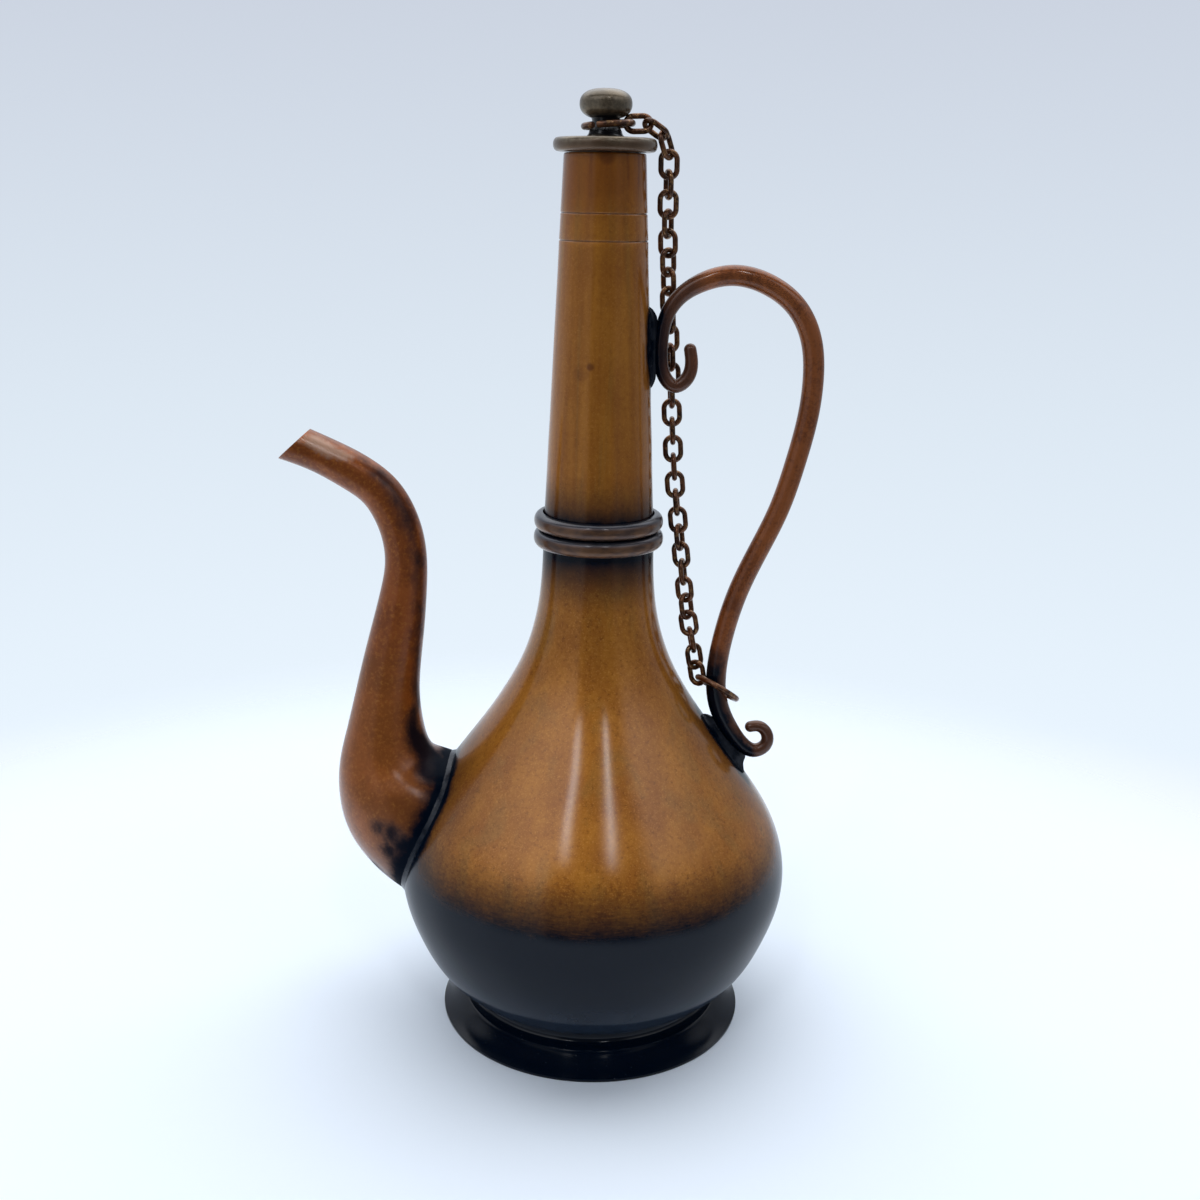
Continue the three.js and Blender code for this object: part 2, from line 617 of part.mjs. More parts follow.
// Each link stands a quarter turn from its neighbour. Where their number is odd, one more quarter
// turn is spread over the chain, so that the last link still stands across the handle's ring.
function chainLinks(joints) {
  const wire = wireAlong(linkPath, LINK_WIRE_R, LINK_SIDES, LINK_STEPS, true);
  const count = joints.length - 1;
  const quarter = 90 + (90 * (count % 2)) / (count - 1);
  const links = [];
  for (let n = 1; n <= count; n += 1) {
    const along = joints[n].clone().sub(joints[n - 1]).normalize();
    const across = new THREE.Vector3(0, -1, 0).cross(along).normalize();
    const facing = along.clone().cross(across);
    const drift = between(DRIFT_FROM_LID, n) + between(DRIFT_FROM_FOOT, count - n);
    const mesh = meshOf(`chain_link_${String(n).padStart(2, "0")}`, wire, darkWire);
    mesh.quaternion.setFromRotationMatrix(new THREE.Matrix4().makeBasis(along, across, facing));
    mesh.rotateX(degToRad(quarter * (n - 1) + drift));
    mesh.position.copy(joints[n - 1]).add(joints[n]).multiplyScalar(0.5);
    links.push(mesh);
  }
  return links;
}

// The handle's ring: its wire passes through the last link
function handleRing(joints) {
  const last = joints.at(-1);
  const along = last.clone().sub(joints.at(-2)).normalize();
  const hook = last.clone().addScaledVector(along, LINK_CLEARANCE / 2 - SEAT - HANDLE_RING_WIRE_R);
  const path = circlePath(HANDLE_RING_R, 0, 2 * Math.PI);
  const wire = wireAlong(path, HANDLE_RING_WIRE_R, RING_SIDES, RING_STEPS, true);
  const mesh = meshOf("handle_ring", wire, darkWire);
  mesh.rotation.y = degToRad(HANDLE_RING_SLOPE);
  const toHook = path(HANDLE_RING_HOOK / 360).applyEuler(mesh.rotation);
  mesh.position.copy(hook).sub(toHook);
  return mesh;
}

// Assembly
const joints = chainJoints();
const lowerRingZ = BODY_TOP_Z - LOWER_RING_DROP;
const jar = new THREE.Group();
jar.add(
  meshOf("foot_ring", footRing(), blackened),
  meshOf("body_shell", bodyShell(), amber),
  meshOf("neck_tube", neckTube(), amber),
  meshOf("neck_ring_lower", neckRing(lowerRingZ), amber),
  meshOf("neck_ring_upper", neckRing(lowerRingZ + RING_HEIGHT + SEAT), amber),
  meshOf("spout_tube", spoutTube(), reddish),
  meshOf("handle_rod", handleForm(0), reddish),
  meshOf("handle_upper_bracket", upperBracket(), blackened),
  meshOf("handle_lower_bracket", lowerBracket(), blackened),
  meshOf("lid_disc", lidDisc(), bronze),
  meshOf("lid_knob", lidKnob(), bronze),
  meshOf("lid_plug", lidPlug(), bronze),
  lidRing(),
  ...chainLinks(joints),
  handleRing(joints),
);

// Centre the footprint: the spout reaches further from the jar's axis than the handle does
const box = new THREE.Box3().setFromObject(jar);
jar.position.x = -(box.min.x + box.max.x) / 2;

const object = new THREE.Group();
object.add(jar);

export default object;
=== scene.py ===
import math

import bmesh
import bpy
import numpy as np
from mathutils import Matrix, Vector


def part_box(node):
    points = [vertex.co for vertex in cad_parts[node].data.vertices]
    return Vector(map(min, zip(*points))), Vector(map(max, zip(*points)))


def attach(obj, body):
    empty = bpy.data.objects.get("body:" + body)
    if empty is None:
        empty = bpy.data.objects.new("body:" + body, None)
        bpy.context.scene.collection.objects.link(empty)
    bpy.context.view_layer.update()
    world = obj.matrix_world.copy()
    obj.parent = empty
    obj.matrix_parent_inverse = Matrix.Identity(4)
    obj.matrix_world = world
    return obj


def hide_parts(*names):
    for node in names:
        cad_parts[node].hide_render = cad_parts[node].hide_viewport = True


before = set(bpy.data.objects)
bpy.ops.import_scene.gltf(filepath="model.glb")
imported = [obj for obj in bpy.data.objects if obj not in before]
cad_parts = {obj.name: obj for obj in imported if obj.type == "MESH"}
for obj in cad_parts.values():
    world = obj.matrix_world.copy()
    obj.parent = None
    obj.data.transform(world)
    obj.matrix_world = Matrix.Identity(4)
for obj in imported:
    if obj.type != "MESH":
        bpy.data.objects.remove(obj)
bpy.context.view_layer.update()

# Camera: it stands in front of the jar, level with the top of the neck, and looks down at it.
# The jar leans a little to the right in the picture, because the camera is rolled.
MM = 0.001
CAMERA_LENS = 42
CAMERA_PLACE = (0.8, -390.9, 242.3)
CAMERA_PITCH = -16.03
CAMERA_ROLL = 1.05

scene = bpy.context.scene
foot_low, foot_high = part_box("foot_ring")
axis_x = (foot_low.x + foot_high.x) / 2


def placed(point):
    """A point in millimetres about the jar's axis, in the frame's metres"""
    return Vector((axis_x + point[0] * MM, point[1] * MM, point[2] * MM))


camera = bpy.data.objects.new("camera", bpy.data.cameras.new("camera"))
camera.data.lens = CAMERA_LENS
camera.matrix_world = (
    Matrix.Translation(placed(CAMERA_PLACE))
    @ Matrix.Rotation(math.radians(90 + CAMERA_PITCH), 4, "X")
    @ Matrix.Rotation(math.radians(CAMERA_ROLL), 4, "Z")
)
scene.collection.objects.link(camera)
scene.camera = camera
scene.view_settings.view_transform = "Standard"

# Foot ring: a skirt of copper sheet under a narrow band that is soldered to the body's underside.
# It is blackened and waxed to a gloss, and worn to a thin bright line at its rim; the thin bright line
# along its crease is partly wear and partly a painted highlight.
FOOT_RIM_R = 45.7
CREASE_R = 39.5
CREASE_Z = 6.3
FOOT_BAND_R = 36.6
FOOT_WALL = 1.4
SEGMENTS = 192
CREASE_DEGREES = 38
# Black patina of the foot, seams and brazes; the same colour also paints shade on the handle, round the
# spout and round the lid's stem.
BLACK_PATINA_AND_SHADE = (0.0004, 0.0032, 0.0095, 1)
PATINA_IOR = 1.3
WORN_GREY_AND_HIGHLIGHT = (0.12, 0.125, 0.135, 1)


class Value:
    """What a node gives; plain arithmetic on it adds the Math nodes"""

    def __init__(self, nodes, socket):
        self.nodes = nodes
        self.socket = socket

    def __pow__(self, other):
        return self.nodes.maths("POWER", self, other)

    def __add__(self, other):
        return self.nodes.maths("ADD", self, other)

    def __sub__(self, other):
        return self.nodes.maths("SUBTRACT", self, other)

    def __rsub__(self, other):
        return self.nodes.maths("SUBTRACT", other, self)

    def __mul__(self, other):
        return self.nodes.maths("MULTIPLY", self, other)

    __radd__ = __add__
    __rmul__ = __mul__

    def fade(self, low, high, course="SMOOTHSTEP"):
        """0 below low and 1 above high, or the other way round where low is the greater"""
        inputs = {0: self, 1: low, 2: high, 3: 0, 4: 1}
        return self.nodes.node("ShaderNodeMapRange", inputs, interpolation_type=course)

    def within(self, start, full, waning, end):
        """1 from full to waning, and 0 before the start and past the end"""
        return self.fade(start, full) * self.fade(end, waning)

    def ragged(self, *noises):
        """The value moved up and down by noises, each given with its whole swing"""
        value = self
        for noise, swing in noises:
            value = value + (noise - 0.5) * swing
        return value


class Nodes:
    """A tree of nodes"""

    def __init__(self, tree):
        self.tree = tree

    def node(self, kind, inputs, output=0, stops=(), **settings):
        """What a new node gives at one of its outputs; stops are those of a colour ramp"""
        made = self.tree.nodes.new(kind)
        for name, setting in settings.items():
            setattr(made, name, setting)
        for number, (position, colour) in enumerate(stops):
            ramp = made.color_ramp.elements
            stop = ramp[number] if number < 2 else ramp.new(position)
            stop.position = position
            stop.color = colour
        for key, value in inputs.items():
            if isinstance(value, Value):
                self.tree.links.new(value.socket, made.inputs[key])
            else:
                made.inputs[key].default_value = value
        return Value(self, made.outputs[output])

    def maths(self, operation, *values):
        return self.node("ShaderNodeMath", dict(enumerate(values)), operation=operation)


class Finish(Nodes):
    """A finish: a material, or the world, and the nodes that it is made of"""

    def __init__(self, owner):
        owner.use_nodes = True
        owner.node_tree.nodes.clear()
        super().__init__(owner.node_tree)
        self.owner = owner

    def place(self, scale=(1, 1, 1)):
        """Millimetres about the jar's axis, stretched by a scale"""
        spot = self.node("ShaderNodeTexCoord", {}, "Object")
        shift = (-axis_x / MM * scale[0], 0, 0)
        size = [share / MM for share in scale]
        return self.node("ShaderNodeMapping", {"Vector": spot, "Location": shift, "Scale": size})

    def along(self, axis):
        """The place along one axis"""
        return self.node("ShaderNodeSeparateXYZ", {0: self.place()}, axis)

    def noise(self, grain, detail=2, stretch=(1, 1, 1), rough=0.5, bend=0):
        """Noise whose patches are about as many millimetres across as its grain says"""
        inputs = {"Vector": self.place(stretch), "Scale": 1 / grain, "Detail": detail}
        return self.node("ShaderNodeTexNoise", {**inputs, "Roughness": rough, "Distortion": bend})

    def greatest(self, first, *others):
        for other in others:
            first = self.maths("MAXIMUM", first, other)
        return first

    def painted(self, colour, *coats):
        """A colour under coats of others, each given with its share"""
        for share, coat in coats:
            inputs = {0: share, 6: colour, 7: coat}
            colour = self.node("ShaderNodeMix", inputs, 2, data_type="RGBA")
        return colour

    def near(self, spot, inner_shade, outer):
        """1 within the inner distance of a spot, fading to 0 at the outer one"""
        ends = {0: self.place(), 1: spot}
        away = self.node("ShaderNodeVectorMath", ends, "Value", operation="DISTANCE")
        return away.fade(outer, inner_shade)

    def marked(self, name):
        """The distance in millimetres that a mesh carries under a name"""
        return self.node("ShaderNodeAttribute", {}, "Fac", attribute_name=name)

    def ended(self, surface):
        """The material or the world, with its surface joined to its end"""
        in_world = isinstance(self.owner, bpy.types.World)
        end = self.tree.nodes.new("ShaderNodeOutputWorld" if in_world else "ShaderNodeOutputMaterial")
        self.tree.links.new(surface.socket, end.inputs["Surface"])
        return self.owner

    def metal(self, colour, height, inputs):
        """The material, from its colour, a height in millimetres and its shader's other sockets"""
        bump = {"Strength": 1, "Distance": MM, "Height": height}
        normal = self.node("ShaderNodeBump", bump, "Normal")
        inputs = {"Base Color": colour, "Normal": normal, **inputs}
        return self.ended(self.node("ShaderNodeBsdfPrincipled", inputs))


def new_finish(name):
    return Finish(bpy.data.materials.new(name))


def smooth_line(points, count, beyond=0):
    """Evenly spread points on the natural spline through the given ones. Beyond is how far past
    the last point it runs, as a share of the whole."""
    knots = np.array(points, float)
    spans = np.linalg.norm(np.diff(knots, axis=0), axis=1)
    along = np.concatenate([[0], np.cumsum(spans)])
    bends = np.eye(len(knots))
    pulls = np.zeros_like(knots)
    for k in range(1, len(knots) - 1):
        before, after = spans[k - 1], spans[k]
        bends[k, k - 1:k + 2] = before, 2 * (before + after), after
        pulls[k] = 6 * ((knots[k + 1] - knots[k]) / after - (knots[k] - knots[k - 1]) / before)
    curl = np.linalg.solve(bends, pulls)
    at = np.linspace(0, along[-1] * (1 + beyond), count)
    k = np.clip(np.searchsorted(along, at, side="right") - 1, 0, len(spans) - 1)
    span = spans[k][:, None]
    share = ((at - along[k]) / spans[k])[:, None]
    rest = 1 - share
    pull = (rest ** 3 - rest) * curl[k] + (share ** 3 - share) * curl[k + 1]
    return rest * knots[k] + share * knots[k + 1] + pull * span ** 2 / 6


def skin(rings, closed=False, capped=True):
    """Points and faces of a skin over rings of equal count. Closed joins the last to the first."""
    rings = np.array(rings, float)
    count, sides = rings.shape[:2]
    faces = []
    for k in range(count if closed else count - 1):
        here = k * sides
        onward = (k + 1) % count * sides
        for i in range(sides):
            j = (i + 1) % sides
            faces.append((here + i, here + j, onward + j, onward + i))
    if capped and not closed:
        faces.append(tuple(range(sides)))
        faces.append(tuple(range((count - 1) * sides, count * sides)))
    return rings.reshape(-1, 3), faces


def around(count):
    """Evenly spread angles of a full turn"""
    return np.linspace(0, 2 * math.pi, count, endpoint=False)


def circle_point(radius, angle):
    return radius * math.cos(angle), radius * math.sin(angle)


def stacked(*columns):
    """Points from their x, y and z, some of which may be one number for all"""
    return np.stack(np.broadcast_arrays(*columns), axis=-1)


def turned(outline, segments=SEGMENTS):
    """A skin turned about the jar's axis, from an outline that ends on the axis or closes"""
    outline = np.array(outline, float)
    turn = around(segments)
    r, z = outline[:, 0, None], outline[:, 1, None]
    rings = stacked(r * np.cos(turn), r * np.sin(turn), z)
    on_axis = outline[0, 0] == 0 and outline[-1, 0] == 0
    return skin(rings, closed=not on_axis, capped=False)


def linked(name, mesh):
    piece = bpy.data.objects.new(name, mesh)
    scene.collection.objects.link(piece)
    return piece


def cleaned(mesh):
    """The mesh, with points that lie on each other made one and every face turned outward"""
    form = bmesh.new()
    form.from_mesh(mesh)
    bmesh.ops.remove_doubles(form, verts=form.verts, dist=1e-7)
    bmesh.ops.recalc_face_normals(form, faces=form.faces)
    form.to_mesh(mesh)
    form.free()
    return mesh


def piece_of(name, points, faces, finish, sharp=CREASE_DEGREES):
    """A smooth piece from points in millimetres about the jar's axis"""
    mesh = bpy.data.meshes.new(name)
    spots = np.array(points, float) * MM + (axis_x, 0, 0)
    mesh.from_pydata(spots.tolist(), [], faces)
    cleaned(mesh).shade_smooth()
    mesh.set_sharp_from_angle(angle=math.radians(sharp))
    mesh.materials.append(finish)
    return linked(name, mesh)


def fitted(piece, body, slot, *nodes):
    """The piece moves with its body and stands for its CAD nodes"""
    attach(piece, body)
    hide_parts(*nodes)
    return piece


def blackened_foot():
    finish = new_finish("blackened_foot")
    dust = finish.noise(9, 4)
    specks = finish.noise(0.7, 1).fade(0.74, 0.8)
    wear = finish.noise(3, 3)
    rim = (finish.along("Z") + wear * 0.3).fade(0.62, 0.4)
    # The crease line is partly wear and partly a painted highlight along the crease.
    crease = (finish.marked("from_crease") + wear * 0.3).fade(0.36, 0.16)
    crease = crease * wear.fade(0.4, 0.62)
    worn = finish.greatest(rim * 0.4, crease * 0.5)
    colour = finish.painted(BLACK_PATINA_AND_SHADE, (worn, WORN_GREY_AND_HIGHLIGHT), (specks * 0.25, WORN_GREY_AND_HIGHLIGHT))
    return finish.metal(colour, finish.noise(6, 2) * 0.02 + finish.noise(0.6, 2) * 0.0012, {
        "Metallic": worn * 0.8,
        "Roughness": 0.06 + dust * 0.12 + worn * 0.2,
        "IOR": PATINA_IOR,
    })


def corners_of(mesh):
    """The points of a mesh, in the frame's metres"""
    corners = np.zeros(len(mesh.vertices) * 3)
    mesh.vertices.foreach_get("co", corners)
    return corners.reshape(-1, 3)


def mark_distance(piece, name, spots):
    """Each point of a piece carries its distance in millimetres to the nearest of some spots,
    less that spot's reach where it has one"""
    corners = (corners_of(piece.data) - (axis_x, 0, 0)) / MM
    nearest = np.full(len(corners), 1e6)
    for spot in np.array(spots, float):
        nearest = np.minimum(nearest, np.linalg.norm(corners - spot[:3], axis=1) - sum(spot[3:]))
    layer = piece.data.attributes.new(name, "FLOAT", "POINT")
    layer.data.foreach_set("value", nearest.astype(np.float32))


skirt = smooth_line([(FOOT_RIM_R, 1), (44.1, 2.2), (41.5, 4.5), (CREASE_R, CREASE_Z)], 14)
foot_outline = [
    (44.45, 0), (44.7, 0), (FOOT_RIM_R - 0.45, 0), (FOOT_RIM_R - 0.15, 0.1),
    (FOOT_RIM_R, 0.35), (FOOT_RIM_R, 0.8),
    *skirt[:-1], (CREASE_R + 0.08, CREASE_Z - 0.1), (CREASE_R - 0.1, CREASE_Z + 0.12),
    *smooth_line([(39.1, 6.5), (37.9, 7), (36.95, 7.8), (FOOT_BAND_R, 9)], 8),
    (FOOT_BAND_R, 10.2), (FOOT_BAND_R - FOOT_WALL, 9.5), (FOOT_BAND_R - FOOT_WALL, 6.4),
    (CREASE_R - 1, CREASE_Z - FOOT_WALL), (43.75, 0.9),
]
foot_ring = piece_of("foot_ring_skirt", *turned(foot_outline), blackened_foot())
crease_line = [(*circle_point(CREASE_R, turn), CREASE_Z) for turn in around(360)]
mark_distance(foot_ring, "from_crease", crease_line)
fitted(foot_ring, "jar", "blackened_copper", "foot_ring")

# Body: a bulb raised from one copper sheet, with a hole where the spout opens into it. Its
# shoulder is coloured amber under a clear lacquer, and its underside is blackened, with a
# hatched, speckled fade between the two. Towards the bottom the black turns bluer, a painted
# reflection of the floor. Heat has darkened it round its soldered seams, and a wider darkening
# out from them is partly heat and partly painted shade.
BODY_WALL = 1.3
BODY_FOOT_R = 34.2
BELLY_R = 57.69
COLLAR_R = 15.75
BODY_TOP_Z = 150.9
LOWER_SWELL = [(0, 8.5), (0.186, 11), (0.545, 18), (0.837, 30), (1, 44)]
UPPER_SWELL = [
    (0.947, 59), (0.766, 72.5), (0.51, 87.5), (0.274, 102), (0.11, 116), (0.025, 131), (0, BODY_TOP_Z),
]
BODY_FLOOR = (29, 7.8)
BELLY_FADE = (51.4, 66.4)
COLLAR_FADE = (145, 130.5)
FLOOR_REFLECTION_FADE = (34, 12)
DEEP_AMBER = (0.27, 0.09, 0.0105, 1)
WARM_AMBER = (0.39, 0.15, 0.018, 1)
OLIVE_AMBER = (0.26, 0.117, 0.022, 1)
BRIGHT_AMBER = (0.55, 0.24, 0.045, 1)
SPECK_BROWN = (0.13, 0.036, 0.005, 1)
REFLECTED_FLOOR_BLUE = (0.019, 0.029, 0.046, 1)
LACQUER_IOR = 1.38
LACQUER_ROUGHNESS = 0.15
BORE_CUT_FROM = 0.62
BORE_CUT_STEP = 12

# Spout sections from the lip to the base: far and near edge, each as the distance out from the
# body's side at the spout's seat and the height, and the half width
SPOUT_SECTIONS = [
    (36.5, 170, 27.4, 178.4, 5.3), (30.6, 168, 24.4, 177.1, 5.35),
    (24.2, 165.1, 18.4, 174.4, 5.4), (17.5, 161.2, 11.2, 170.6, 5.5),
    (12.8, 157.6, 4.2, 165.2, 5.6), (9.6, 152.4, -1, 157.6, 5.8),
    (7.8, 147, -3.8, 149.6, 5.95), (7.2, 140.6, -4.9, 141.2, 6.05),
    (8.3, 133.6, -4.7, 132.2, 6.5), (11, 123.2, -3.8, 120.8, 7.5),
    (14.7, 109.4, -2.3, 106.6, 8.6), (17.6, 97.6, -2.2, 97.2, 9.9),
    (19.9, 88.5, -3.5, 88.2, 11.7), (22, 79.5, -6.4, 82.2, 14.2),
    (22.5, 70, -12, 79.8, 17.4), (20.4, 59, -18, 77.4, 19.8),
    (15.2, 50, -23.4, 74, 21), (8.8, 43.2, -27.4, 69.6, 21.2),
    (2.2, 38.2, -30.4, 64, 20.5),
]
SPOUT_SEAT_Z = 62
SPOUT_WALL = 1.1
SPOUT_SIDES = 72
SPOUT_STEPS = 600

lower_wall = [(BODY_FOOT_R + share * (BELLY_R - BODY_FOOT_R), z) for share, z in LOWER_SWELL]
upper_wall = [(COLLAR_R + share * (BELLY_R - COLLAR_R), z) for share, z in UPPER_SWELL]
body_wall = smooth_line(lower_wall + upper_wall, 132)


def body_radius(z):
    return np.interp(z, body_wall[:, 1], body_wall[:, 0])


def unit(vectors):
    return vectors / np.linalg.norm(vectors, axis=-1)[..., None]


def hand_worked(points, depth, seed, longest=42, shortest=13, waves=22):
    """Points moved in or out from the jar's axis by slow, shallow waves, as hammer work leaves"""
    chance = np.random.default_rng(seed)
    points = np.array(points, float)
    swell = np.zeros(len(points))
    for _ in range(waves):
        heading = unit(chance.normal(size=3))
        length = chance.uniform(shortest, longest)
        swell += np.sin(points @ heading * 2 * math.pi / length + chance.uniform(0, 2 * math.pi))
    swell *= depth / math.sqrt(waves)
    reach = np.maximum(np.hypot(points[:, 0], points[:, 1]), 1e-6)
    points[:, :2] *= (1 + swell / reach)[:, None]
    return points


def spout_rings(wall):
    """Rings of the spout's skin from the lip to past the base, drawn in by a wall"""
    edges = smooth_line(SPOUT_SECTIONS, SPOUT_STEPS, beyond=0.035)
    seat = -body_radius(SPOUT_SEAT_Z)
    far = stacked(seat - edges[:, 0], 0, edges[:, 1])
    near = stacked(seat - edges[:, 2], 0, edges[:, 3])
    middle = (far + near) / 2
    across = (near - far) / 2
    reach = np.linalg.norm(across, axis=1)[:, None]
    across *= (reach - wall) / reach
    side = stacked(0, edges[:, 4] - wall, 0)
    turn = around(SPOUT_SIDES)[None, :, None]
    return middle[:, None] + across[:, None] * np.cos(turn) + side[:, None] * np.sin(turn)


def cut_at_body(rings, depth, rows):
    """Rings spread again from the lip to where each side has run a depth into the body"""
    inside = np.hypot(rings[..., 0], rings[..., 1]) < body_radius(rings[..., 2]) - depth
    inside[-1] = True
    last = inside.argmax(axis=0)
    spread = np.linspace(0, 1, rows)[:, None] * last[None, :]
    low = np.minimum(spread.astype(int), len(rings) - 2)
    share = (spread - low)[..., None]
    sides = np.arange(rings.shape[1])[None, :]
    return rings[low, sides] * (1 - share) + rings[low + 1, sides] * share


spout_skin = spout_rings(0)
spout_bore = spout_rings(SPOUT_WALL)
seam_line = cut_at_body(spout_skin, 0, 2)[-1]


def amber(finish, stretch=(1, 1, 1), speckle=1):
    """The lacquered amber colour: slow clouds under a fine, sparkling mottle"""
    clouds = finish.noise(17, 3, rough=0.6)
    streaks = finish.noise(7, 3, stretch, rough=0.55)
    dull = finish.noise(11, 4, stretch, rough=0.6, bend=0.5)
    mottle = finish.noise(1.1, 3, rough=0.7)
    sparkle = finish.noise(0.42, 1)
    colour = finish.painted(
        DEEP_AMBER, ((clouds * 0.4 + streaks * 0.6).fade(0.32, 0.68), WARM_AMBER),
        (dull.fade(0.5, 0.66) * 0.6, OLIVE_AMBER),
        (mottle.fade(0.5, 0.78) * 0.35 * speckle, BRIGHT_AMBER),
        (mottle.fade(0.5, 0.25) * 0.6 * speckle, SPECK_BROWN),
        (sparkle.fade(0.56, 0.72) * 0.45 * speckle, BRIGHT_AMBER),
    )
    return colour, mottle, sparkle


def lacquered(
    finish, colour, dark, grain, height, gloss=LACQUER_ROUGHNESS, black=BLACK_PATINA_AND_SHADE, matt=0.38
):
    """Tinted copper under a clear, glossy lacquer; where it is dark, from black patina and in places
    painted shade, it is no longer metallic
    """
    return finish.metal(finish.painted(colour, (dark, black)), height, {
        "Metallic": 0.42 - dark * 0.36,
        "Roughness": 0.46 + (grain - 0.5) * 0.12,
        "Specular IOR Level": 0,
        "Coat Weight": 1 - dark * matt,
        "Coat IOR": LACQUER_IOR,
        "Coat Roughness": gloss,
    })


def amber_body():
    finish = new_finish("amber_body")
    colour, mottle, sparkle = amber(finish, (1, 1, 0.35))
    z = finish.along("Z")
    hatch = finish.noise(1.1, 3, (0.35, 0.35, 2.6), rough=0.7)
    patches = finish.noise(6, 2)
    level = z.ragged((hatch, 6), (patches, 3), (mottle, 2.5))
    kept = level.fade(*BELLY_FADE, "LINEAR") ** 1.45
    kept = kept * z.ragged((patches, 3), (mottle, 2)).fade(*COLLAR_FADE, "LINEAR") ** 1.2
    seam = finish.marked("from_seam").ragged((patches, 2.8), (mottle, 1.4))
    # Out to about 22 mm from the seams the amber darkens further: partly heat, partly painted shade.
    kept = kept * (seam.fade(2.4, 5.8) * 0.45 + seam.fade(3, 22, "LINEAR") * 0.55)
    # Painted reflection: the black turns bluer towards the bottom, standing in for the floor's reflection.
    blue = z.ragged((patches, 6)).fade(*FLOOR_REFLECTION_FADE)
    black = finish.painted(BLACK_PATINA_AND_SHADE, (blue, REFLECTED_FLOOR_BLUE))
    return lacquered(finish, colour, 1 - kept, mottle, mottle * 0.02 + sparkle * 0.008, black=black)


def plain_mesh(name, carrier):
    """The mesh that the modifiers make of an object, which is taken away"""
    evaluated = carrier.evaluated_get(bpy.context.evaluated_depsgraph_get())
    mesh = bpy.data.meshes.new_from_object(evaluated)
    mesh.name = name
    bpy.data.objects.remove(carrier)
    return mesh


body_outline = [(0, BODY_FLOOR[1]), BODY_FLOOR, *body_wall]
run = unit(np.gradient(body_wall, axis=0))
inner_wall = (body_wall + BODY_WALL * stacked(-run[:, 1], run[:, 0]))[::4][::-1]
body_outline += [*inner_wall, (BODY_FLOOR[0], BODY_FLOOR[1] + BODY_WALL), (0, BODY_FLOOR[1] + BODY_WALL)]
body_points, body_faces = turned(body_outline)
amber_finish = amber_body()
body_points = hand_worked(body_points, depth=0.055, seed=4)
whole_body = piece_of("whole_body", body_points, body_faces, amber_finish)
bore_rows = spout_bore[int(BORE_CUT_FROM * SPOUT_STEPS)::BORE_CUT_STEP]
bore = piece_of("bore", *skin(bore_rows), amber_finish)
hole = whole_body.modifiers.new("hole", "BOOLEAN")
hole.operation = "DIFFERENCE"
hole.solver = "EXACT"
hole.object = bore
body = linked("body_bulb", plain_mesh("body", whole_body))
bpy.data.objects.remove(bore)
fitted(body, "jar", "amber_copper", "body_shell")

# Neck: a tapered tube, coloured as the body is, with two incised lines under the mouth. Its
# lower end enters the body's collar and is soldered there, which has darkened it.
NECK_FOOT_R = 15.7
NECK_MOUTH_R = 11.06
NECK_WALL = 1.2
MOUTH_Z = 253.7
SPIGOT_R = 14.15
SPIGOT_LOW_Z = 143.9
GROOVE_DROPS = (22.5, 15.4)
GROOVE_DEPTH = 0.17
GROOVE_HALF = 0.27
NECK_SEGMENTS = 160
NECK_FADE = (156, 169)
MOUTH_FADE = (233, 246)
RUN_FADE = (236, 252)
NECK_SPOT = (-2.9, -13.2, 198.6)
NECK_SMUDGE = (-6, -11.9, 196.8)
MOUTH_DRIP = (0.6, -11, 252.4)
MOUTH_BROWN = (0.19, 0.052, 0.006, 1)
STAIN_BROWN = (0.1, 0.022, 0.006, 1)
GROOVE_BROWN = (0.03, 0.013, 0.008, 1)


def neck_radius(z):
    return np.interp(z, (BODY_TOP_Z, MOUTH_Z), (NECK_FOOT_R, NECK_MOUTH_R))


def amber_neck():
    finish = new_finish("amber_neck")
    colour, mottle, sparkle = amber(finish, (2.4, 2.4, 0.12), 0.55)
    z = finish.along("Z")
    patches = finish.noise(5, 2)
    kept = z.ragged((patches, 2.2), (mottle, 1.4)).fade(*NECK_FADE, "LINEAR") ** 0.9
    kept = kept * finish.marked("from_saddle").ragged((patches, 2.4)).fade(0.8, 4.4)
    grooves = 0
    for drop in GROOVE_DROPS:
        middle = MOUTH_Z - drop
        grooves = grooves + z.within(middle - 0.3, middle - 0.05, middle + 0.05, middle + 0.3)
    spot = finish.near(NECK_SPOT, 0.5, 1.5) * 0.85
    smudge = finish.near(NECK_SMUDGE, 0.4, 3.4) * patches * 0.9
    drip = finish.near(MOUTH_DRIP, 1.2, 2.6) * patches
    run = finish.noise(2.4, 2, (1, 1, 0.03)).fade(0.56, 0.68)
    run = run * z.ragged((patches, 30)).fade(*RUN_FADE)
    colour = finish.painted(
        colour, (z.ragged((patches, 4)).fade(*MOUTH_FADE) * 0.6, MOUTH_BROWN),
        (finish.greatest(spot, smudge, drip, run * 0.5) * 0.8, STAIN_BROWN), (grooves * 0.6, GROOVE_BROWN),
    )
    return lacquered(finish, colour, 1 - kept, mottle, mottle * 0.015 + sparkle * 0.006)


